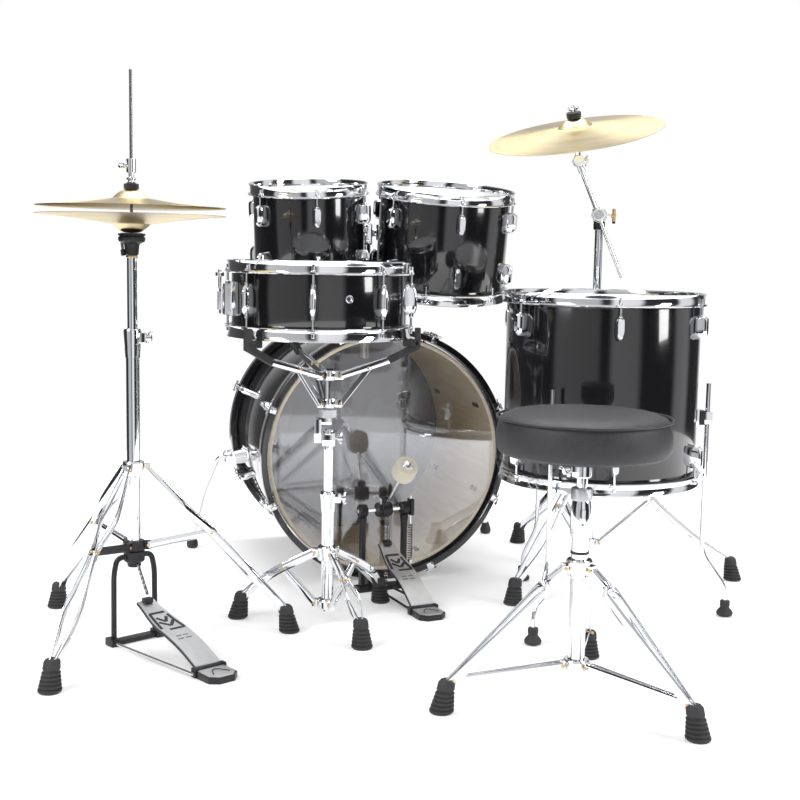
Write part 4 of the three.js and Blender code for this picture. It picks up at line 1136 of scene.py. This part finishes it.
def kick_parts():
    place = KICK_PLACE
    pedal = Shape()
    pedal.box((-KICK_POST - 9, -12, 0), (KICK_POST + 9, 38, 6), look="black_metal", bevel=1.6)
    pedal.box((-20, 34, 1), (20, 56, 24), look="black_metal", bevel=3)
    pedal.box((-17, 48, 15.6), (17, 74, 24), look="black_metal", bevel=2.4)
    wing_screw(pedal, shift(20, 46, 14), 8, 22)
    for side in (-1, 1):
        post = [(side * KICK_POST - 7, 0), (side * KICK_POST + 7, 0), (side * KICK_POST + 5.4, 20)]
        post += [(side * KICK_POST + 4.6, 150), (side * KICK_POST + 8, 170), (side * KICK_POST - 8, 170)]
        post += [(side * KICK_POST - 4.6, 150), (side * KICK_POST - 5.4, 20)]
        upright = Matrix(((1, 0, 0, 0), (0, 0, -1, 8), (0, 1, 0, 2), (0, 0, 0, 1)))
        pedal.prism(post, 16, upright, "black_metal", bevel=1.6)
        bearing = [(5.6, -9), (13, -9), (14.5, -7), (14.5, 7), (13, 9), (5.6, 9)]
        across = shift(side * KICK_POST, 0, KICK_SHAFT) @ turned("Y", 90)
        pedal.ring(bearing, across, "black_metal")
        pedal.box((side * KICK_POST - 12, -14, 0), (side * KICK_POST + 12, 14, 14), look="black_metal",
                  bevel=3)
        pedal.rod((side * 18, -4, 6), (side * 26, KICK_PEDAL["hinge"] - 8, 9), 2.7, look="black_metal")
    heel_plate(pedal, KICK_PEDAL)
    pedal.stand_for("kick_pedal_frame", place)

    board = Shape()
    footboard(board, KICK_PEDAL)
    toe = board_surface(KICK_PEDAL, 0.96, 0, 6)
    chain(board, toe, (0, -20, KICK_SHAFT - 27), 5, double=True)
    board.stand_for("kick_footboard", place)

    beater = Shape()
    lean = math.radians(BEATER["lean"])
    along = Vector((0, -math.sin(lean), math.cos(lean)))
    shaft = Vector((0, 0, KICK_SHAFT))
    beater.rod((-KICK_POST - 12, 0, KICK_SHAFT), (KICK_POST + 22, 0, KICK_SHAFT), 4.9, sides=6)
    beater.rod((-17, 0, KICK_SHAFT), (17, 0, KICK_SHAFT), 16, look="black_metal", sides=36)
    beater.rod((-9, 0, KICK_SHAFT), (9, 0, KICK_SHAFT), 19, look="black_metal", sides=36)
    beater.box((-9, -15, KICK_SHAFT + 6), (9, 5, KICK_SHAFT + 30), look="black_metal", bevel=2.4)
    beater.box((-12, -9, KICK_SHAFT + 12), (-6.5, 5, KICK_SHAFT + 28), bevel=1.4)
    beater.rod(shaft, shaft + along * (BEATER["length"] + 18), 3.2)
    head = Matrix.Translation(shaft + along * BEATER["length"])
    head = head @ aligned(along)
    half, wide = BEATER["thick"] / 2, BEATER["radius"]
    felt_profile = [(0, -half), (wide - 9, -half), (wide - 3, -half + 3), (wide - 0.6, -half + 9)]
    felt_profile += [(wide, -4), (wide, half - 9), (wide - 1.6, half - 3.4), (wide - 6, half - 1),
                     (0, half - 1)]
    beater.lathe(felt_profile, head, "cream_felt", sides=64)
    beater.lathe([(0, half - 1.2), (11.5, half - 1.2), (12, half - 0.4), (11, half + 0.8), (0, half + 0.8)],
                 head)
    beater.prism([polar(6, 60 * k).xy for k in range(6)], 4, head @ shift(0, 0, half + 0.6), bevel=0.5)
    rocker = [(KICK_POST + 12, -10, KICK_SHAFT - 18), (KICK_POST + 22, 12, KICK_SHAFT + 20)]
    beater.box(*rocker, look="black_metal", bevel=4)
    beater.rod((KICK_POST + 17, 1, KICK_SHAFT + 18), (KICK_POST + 17, 1, KICK_SHAFT + 27), 2.4)
    beater.stand_for("kick_beater_shaft", place)
    kick_spring(place)


def kick_spring(place):
    """The coil spring beside the right upright, from the rocker to the frame."""
    spring = Shape()
    x, low, high = KICK_POST + 17, 66, KICK_SHAFT - 40
    route = []
    turns = 15
    for k in range(turns * 10 + 1):
        angle = 2 * math.pi * k / 10
        route.append((x + 5 * math.cos(angle), 1 + 5 * math.sin(angle),
                      low + (high - low) * k / (turns * 10)))
    spring.tube(route, 1.15, look="dark_rod", sides=6)
    spring.rod((x, 1, high - 2), (x, 1, KICK_SHAFT - 19), 1.6, sides=10)
    spring.rod((x, 1, 20), (x, 1, low + 2), 1.8, sides=10)
    spring.box((KICK_POST + 5, -6, 2), (x + 5, 8, 20), look="black_metal", bevel=2)
    spring.lathe([(0, low - 12), (5, low - 12), (5.6, low - 10), (5.6, low - 2), (0, low)], shift(x, 1, 0))
    made = spring.make("kick_return_spring", BODY_OF["kick_pedal_frame"], place)


# ---- crash stand ----
def crash_parts():
    tripod("crash_tripod", CRASH_LEGS, CRASH_PLACE)
    lower_tube("crash_lower_tube", CRASH_PLACE, 58, 590, 640)
    upper = Shape()
    clamp = 865
    upper.lathe([(0, 440), (9, 440), (9.5, 441), (9.5, clamp - 26), (0, clamp - 26)])
    upper.lathe([(0, clamp - 34), (12.5, clamp - 34), (13.5, clamp - 31), (13.5, clamp - 12),
                 (0, clamp - 12)],
                look="black_metal")
    upper.box((-14, -11, clamp - 16), (14, 11, clamp + 14), bevel=4)
    upper.lathe([(0, -14), (15, -14), (16, -12), (16, 8), (14, 11), (0, 11)],
                shift(0, 0, clamp) @ turned("X", 90))
    upper.stand_for("crash_upper_tube", CRASH_PLACE)
    boom_y = -24
    foot = Vector((54, boom_y, 719))
    tilter = Vector((-58.3, boom_y, 988))
    pivot = foot.lerp(tilter, (clamp - foot.z) / (tilter.z - foot.z))
    arm = Shape()
    arm.rod(foot, tilter, 4.8)
    arm.rod(tilter.lerp(foot, 0.1), tilter, 8, end_radius=7)
    arm.rod(pivot + Vector((0, -13, 0)), pivot + Vector((0, 12.6, 0)), 14.6, sides=36)
    arm.rod(pivot + Vector((0, -16, 0)), pivot + Vector((0, -12, 0)), 11, look="knurled_chrome", sides=36)
    along = (tilter - foot).normalized()
    arm.rod(pivot - along * 17, pivot + along * 17, 9)
    arm.rod(pivot, pivot + Vector((40, 0, 0)), 3)
    arm.rod(pivot + Vector((30, 0, -2)), pivot + Vector((42, 0, -2)), 4.6, look="brass_trim")
    arm.box(pivot + Vector((33, -4, -15)), pivot + Vector((41, 4, 15)), look="brass_trim", bevel=2.4)
    arm.box(pivot + Vector((33.4, -3.6, -20)), pivot + Vector((40.6, 3.6, -13)), look="black_metal", bevel=2)
    turn = turned("X", CRASH_LEAN[0]) @ turned("Y", CRASH_LEAN[1])
    plate = shift(*cymbal_centre(turn)) @ turn
    local = CRASH_PLACE.inverted() @ plate
    rise = 38
    arm.rod(tilter + Vector((0, -15, 0)), tilter + Vector((0, 15, 0)), 12, sides=36)
    arm.box(tilter + Vector((-9, -9, -12)), tilter + Vector((9, 9, 13)), bevel=3)
    wing_screw(arm, Matrix.Translation(tilter) @ shift(8, 0, 0), 10, 26)
    stem_foot = local @ Vector((0, 0, -54))
    arm.rod(tilter, stem_foot, 6.4)
    arm.rod(stem_foot, local @ Vector((0, 0, rise - 15)), 6.5, end_radius=5)
    arm.rod((0, 0, rise - 16), (0, 0, rise + 29), 3.2, local)
    arm.ring([(4.4, rise - 14), (15, rise - 14), (16.6, rise - 11), (16.6, rise - 4), (15, rise - 2.2),
              (4.4, rise - 2.2)],
              local, "black_felt")
    arm.ring([(3.4, rise + 0.5), (16, rise + 0.5), (17, rise + 2), (17, rise + 12), (15.6, rise + 14),
              (3.4, rise + 14)],
              local, "black_felt")
    arm.rod((0, 0, rise + 14), (0, 0, rise + 20), 6, local)
    wing_screw(arm, local @ shift(0, 0, rise + 12) @ turned("Y", -90), 8, 24)
    arm.stand_for("crash_boom_arm", CRASH_PLACE)
    downhill = math.degrees(math.atan2(turn[2][1], turn[2][0]))
    cymbal_shape(CRASH_RADIUS, rise, 6).stand_for("crash_cymbal", plate @ turn_z(downhill - 90))


def cymbal_centre(turn):
    """The middle of the crash cymbal's edge, found from the cymbal's box and its lean."""
    low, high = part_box("crash_cymbal")
    normal = turn.to_3x3() @ UP
    half = [CRASH_RADIUS * math.sqrt(max(0.0, 1 - normal[i] ** 2)) for i in range(3)]
    x = low.x / MM + half[0] if normal.x < 0 else high.x / MM - half[0]
    return Vector((x, high.y / MM - half[1], low.z / MM + half[2] + 1.8 * normal.z))


# ---- throne ----
def throne_parts():
    tripod("throne_tripod", THRONE_LEGS, THRONE_PLACE)
    lower = Shape()
    lower.pipe(9.9, 14.5, 50, 292)
    clamp = [(9.9, 289), (15, 289), (17.6, 296), (18.4, 312), (18, 340), (16, 352), (15, 355), (9.9, 355)]
    lower.ring(clamp)
    lower.ring([(9.9, 355.5), (17.4, 355.5), (18.4, 357), (18.4, 374), (17.4, 376), (9.9, 376)],
                look="knurled_chrome")
    lower.ring([(14.6, 262), (16, 262), (16, 266), (14.6, 266)], look="black_metal")
    lower.box((-5, -22, 306), (5, -15, 342), bevel=2.4)
    lower.rod((0, -23, 316), (0, -15, 316), 2.4, look="dark_rod")
    lower.stand_for("throne_lower_tube", THRONE_PLACE)
    post = Shape()
    post.lathe([(0, 90), (9, 90), (9.4, 91), (9.4, 405), (0, 405)])
    post.lathe([(0, 394), (14, 394), (16, 397), (16, 414), (22, 419), (44, 425), (46, 428), (46, 432.6),
                (0, 432.6)], sides=64)
    post.box((-20, -14, 396), (6, 10, 418), bevel=4)
    wing_screw(post, turn_z(200) @ shift(17, 0, 406) @ turned("X", 75), 14, 34)
    post.stand_for("throne_post", THRONE_PLACE)
    throne_seat()


def throne_seat():
    """The round cushion: vinyl drawn over foam, with a piped seam round the top edge."""
    radius = 151
    low, high = corner("throne_seat").z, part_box("throne_seat")[1].z / MM
    middle = (low + high) / 2
    shape = Shape()
    rows = [(0, low + 1.5), (60, low + 1.5), (120, low + 1.5), (radius - 9, low + 1.5), (radius - 4, low + 4)]
    rows += [(radius - 2.4, low + 12), (radius - 1.6, low + 26), (radius - 2, low + 38),
             (radius - 4, high - 13)]
    rows += [(radius - 9, high - 8), (radius - 22, high - 5), (radius * 0.6, high - 2.4), (0, high - 1.6)]
    shape.lathe([(r, z - middle) for r, z in rows], look="vinyl", sides=96)
    place = THRONE_PLACE @ shift(0, 0, middle)
    cushion = shape.stand_for("throne_seat", place)
    cushion.name = "throne_cushion"
    inflate(cushion)
    piping = Shape()
    ring = []
    seam = high - 11 - middle
    for k in range(120):
        angle = 2 * math.pi * k / 120
        wave = 0.25 * math.sin(9 * angle)
        ring.append(((radius - 3.2) * math.cos(angle), (radius - 3.2) * math.sin(angle), seam + wave))
    piping.tube(ring, 2.5, look="vinyl", sides=12, loop=True)
    welt = piping.make("throne_piping", BODY_OF["throne_seat"], place)
    base = Shape()
    base.lathe([(0, -1.2), (radius - 16, -1.2), (radius - 14, 0.4), (radius - 14, 1), (0, 1)],
               shift(0, 0, low - middle + 1.3), "black_metal", sides=96)
    made = base.make("throne_seat_base", BODY_OF["throne_seat"], place)


def inflate(obj, cap=2.2 * MM):
    """Swells a cushion by cloth simulation, with its underside held, and keeps the result."""
    bpy.context.view_layer.objects.active = obj
    remesh = obj.modifiers.new("remesh", "REMESH")
    remesh.mode = "VOXEL"
    remesh.voxel_size = 6 * MM
    apply_modifiers(obj)
    rest = [vert.co.copy() for vert in obj.data.vertices]
    floor = min(point.z for point in rest) + 4 * MM
    held = obj.vertex_groups.new(name="held")
    held.add([i for i, point in enumerate(rest) if point.z < floor], 1.0, "REPLACE")
    cloth = obj.modifiers.new("cloth", "CLOTH")
    cloth.settings.use_pressure = True
    cloth.settings.uniform_pressure_force = 3.0
    cloth.settings.effector_weights.gravity = 0.0
    cloth.settings.vertex_group_mass = "held"
    for step in range(1, 15):
        bpy.context.scene.frame_set(step)
    apply_modifiers(obj)
    bpy.context.scene.frame_set(1)
    for vert, start in zip(obj.data.vertices, rest):
        move = vert.co - start
        if move.length > cap:
            vert.co = start + move.normalized() * cap
    smoother = obj.modifiers.new("smooth", "SMOOTH")
    smoother.iterations = 4
    smoother.factor = 0.6
    apply_modifiers(obj)
    for polygon in obj.data.polygons:
        polygon.use_smooth = True


def apply_modifiers(obj):
    graph = bpy.context.evaluated_depsgraph_get()
    mesh = bpy.data.meshes.new_from_object(obj.evaluated_get(graph))
    old = obj.data
    for slot_material in old.materials:
        if slot_material and slot_material.name not in [m.name for m in mesh.materials if m]:
            mesh.materials.append(slot_material)
    obj.modifiers.clear()
    obj.data = mesh


# ---- snare stand ----
def snare_stand_parts():
    tripod("snare_stand_tripod", SNARE_LEGS, SNARE_STAND_PLACE)
    lower_tube("snare_stand_lower_tube", SNARE_STAND_PLACE, 24, 234, 276)
    upper = Shape()
    upper.lathe([(0, 100), (9, 100), (9.5, 101), (9.5, 376), (0, 376)])
    upper.box((-13.8, -11, 372), (13.8, 11, 400), bevel=3)
    upper.lathe([(0, 396), (13, 396), (13.5, 398), (12, 404), (8, 407.4), (0, 407.4)], sides=32)
    wing_screw(upper, shift(13, 0, 388), 10, 24)
    upper.stand_for("snare_stand_upper_tube", SNARE_STAND_PLACE)
    basket = Shape()
    hub, lower_hub, knob = 518, 460, 440
    basket.box((-29.6, -9.5, 378), (-14.4, 9.5, 427), bevel=2.4)
    basket.box((-30, -8, 416), (6, 8, 430), bevel=2.4)
    basket.rod((-4, 0, 420), (-4, 0, hub + 12), 6.4)
    basket.lathe([(0, knob - 9), (19, knob - 9), (21, knob - 7), (21, knob + 7), (19, knob + 9),
                  (0, knob + 9)],
                 look="knurled_chrome", sides=64)
    for level in (hub, lower_hub):
        basket.lathe([(0, level - 10), (13, level - 10), (14, level - 8), (14, level + 8), (13, level + 10),
                      (0, level + 10)], sides=40)
    basket.rod((0, 0, hub + 8), (0, 0, hub + 14), 8, look="black_metal")
    snare = drum_axes("snare")[0].translation
    offset = snare - SNARE_STAND_PLACE.translation
    tip = snare.z - drum_axes("snare")[1] - HOOP_RISE
    reach = DRUMS["snare"]["radius"] + 18
    for degrees in (-8, 112, 232):
        end = polar(reach, degrees) + Vector((offset.x, offset.y, 0))
        span = end.length
        turn = turn_z(math.degrees(math.atan2(end.y, end.x)))
        basket.box((10, -6.5, hub - 9), (30, 6.5, hub + 9), turn, bevel=3)
        basket.box((10, -6, lower_hub - 8), (28, 6, lower_hub + 8), turn, bevel=3)
        near, far = Vector((24, 0, hub)), Vector((span - 44, 0, tip - 42))
        for side in (-1, 1):
            lift = Vector((0, side * 6.4, 0))
            half_way = near.lerp(far, 0.62)
            basket.strap([near + lift, half_way + lift * 0.8, far + lift * 0.25], 14, 2, turn)
            link = [Vector((24, side * 4.6, lower_hub)), Vector((80, side * 4.6, hub + 16))]
            basket.strap(link, 12, 2, turn)
        for point in (near, Vector((24, 0, lower_hub)), Vector((80, 0, hub + 17))):
            rivet(basket, turn @ point, turn.to_3x3() @ ACROSS, 8.4)
        basket.strap([far - Vector((6, 0, 2)), Vector((span + 8, 0, tip - 14))], 15, 13, turn, "rubber")
        basket.box((span - 22, -8, tip - 15), (span + 12, 8, tip - 0.6), turn, "rubber", bevel=3)
        basket.box((span + 1.4, -8, tip - 20), (span + 13.6, 8, tip + 23), turn, "rubber", bevel=3)
    basket.stand_for("snare_stand_basket", SNARE_STAND_PLACE)


# ---- studio ----
CAMERA_FROM_THRONE = Vector((-313, -2091, 767.7))


def camera():
    data = bpy.data.cameras.new("camera")
    data.lens = 56.0
    data.sensor_width = 36.0
    data.clip_end = 50
    obj = bpy.data.objects.new("camera", data)
    bpy.context.scene.collection.objects.link(obj)
    spot = Vector((THRONE_AT.x, THRONE_AT.y, 0)) + CAMERA_FROM_THRONE
    turn = turned("X", 90 - 6.7245) @ turn_z(1.005)
    obj.matrix_world = Matrix.Translation(spot * MM) @ turn
    bpy.context.scene.camera = obj


def area_light(name, spot, target, size, power, color=(1, 1, 1)):
    data = bpy.data.lights.new(name, "AREA")
    data.shape = "RECTANGLE"
    data.size, data.size_y = size
    data.energy = power
    data.color = color
    obj = bpy.data.objects.new(name, data)
    bpy.context.scene.collection.objects.link(obj)
    look = (Vector(target) - Vector(spot)).normalized()
    obj.matrix_world = Matrix.Translation(spot) @ look.to_track_quat("-Z", "Y").to_matrix().to_4x4()


def studio():
    """A pale round floor that glows towards its rim, so that it melts into the white behind it."""
    mesh = bpy.data.meshes.new("floor")
    reach, sides = 2.3, 128
    rim = [(reach * math.cos(math.tau * k / sides), reach * math.sin(math.tau * k / sides),
            0) for k in range(sides)]
    mesh.from_pydata(rim, [], [list(range(sides))])
    floor = bpy.data.objects.new("floor", mesh)
    bpy.context.scene.collection.objects.link(floor)
    tree, shader = material("studio_floor", (0.8, 0.8, 0.8), 0.7)
    roughen(tree, shader, object_noise(tree, 3), 0.6, 0.75)
    shader.inputs["Emission Color"].default_value = (1, 1, 1, 1)
    far = on_object(tree, "ShaderNodeVectorMath", operation="LENGTH")
    glow = node(tree, "ShaderNodeMapRange", interpolation_type="SMOOTHSTEP")
    limits = {"From Min": 0.9, "From Max": 2.1, "To Min": FLOOR_GLOW[0], "To Max": FLOOR_GLOW[1]}
    for socket, value in limits.items():
        glow.inputs[socket].default_value = value
    tree.links.new(far.outputs["Value"], glow.inputs["Value"])
    tree.links.new(glow.outputs["Result"], shader.inputs["Emission Strength"])
    mesh.materials.append(MATERIALS["studio_floor"])
    room_light()
    area_light("key", (-2.8, -2.2, 3.0), (0, 0, 0.5), (1.2, 2.4), 110)
    area_light("fill", (3.2, -1.4, 2.2), (0.1, 0, 0.5), (0.8, 2.6), 80)
    area_light("top", (0, 0.8, 3.6), (0, 0, 0.4), (3.0, 2.0), 90)
    bpy.context.scene.view_settings.view_transform = "Standard"


def room_light():
    """The room: bright panels with dark gaps round the horizon, and darker behind the drummer."""
    world = bpy.data.worlds.new("studio")
    world.use_nodes = True
    tree = world.node_tree
    coords = node(tree, "ShaderNodeTexCoord")
    around = node(tree, "ShaderNodeTexGradient", gradient_type="RADIAL")
    panels = node(tree, "ShaderNodeValToRGB")
    tree.links.new(coords.outputs["Generated"], around.inputs["Vector"])
    tree.links.new(around.outputs["Fac"], panels.inputs["Fac"])
    stops = panels.color_ramp.elements
    shades = ((0.06, 0.03), (0.075, 0.62), (0.21, 0.5), (0.225, 0.04), (0.245, 0.04), (0.262, 0.95))
    shades += ((0.34, 0.85), (0.36, 0.03), (0.475, 0.03), (0.495, 0.85), (0.545, 0.8), (0.57, 0.05))
    shades += ((0.645, 0.05), (0.67, 0.75), (0.78, 0.6), (0.84, 0.1))
    stops[0].position, stops[0].color = 0.0, (0.03, 0.03, 0.03, 1)
    stops[1].position, stops[1].color = 1.0, (0.03, 0.03, 0.03, 1)
    for position, shade in shades:
        stops.new(position).color = (shade, shade, shade * 1.02, 1)
    parts = node(tree, "ShaderNodeSeparateXYZ")
    overhead = node(tree, "ShaderNodeMix", data_type="RGBA")
    overhead.inputs[7].default_value = (0.8, 0.8, 0.82, 1)
    tree.links.new(coords.outputs["Generated"], parts.inputs["Vector"])
    rise = node(tree, "ShaderNodeMapRange")
    rise.inputs["From Min"].default_value = 0.45
    rise.inputs["From Max"].default_value = 0.85
    tree.links.new(parts.outputs["Z"], rise.inputs["Value"])
    tree.links.new(rise.outputs["Result"], overhead.inputs["Factor"])
    tree.links.new(panels.outputs["Color"], overhead.inputs[6])
    sees = node(tree, "ShaderNodeLightPath")
    white = node(tree, "ShaderNodeMix", data_type="RGBA")
    white.inputs[7].default_value = (1, 1, 1, 1)
    tree.links.new(sees.outputs["Is Camera Ray"], white.inputs["Factor"])
    tree.links.new(overhead.outputs[2], white.inputs[6])
    tree.links.new(white.outputs[2], tree.nodes["Background"].inputs["Color"])
    bpy.context.scene.world = world


camera()
bass_parts()
tom_holder()
flanged_drum("small_tom")
flanged_drum("middle_tom")
floor_tom_parts()
snare_parts()
snare_stand_parts()
hihat_parts()
crash_parts()
throne_parts()
kick_parts()
studio()
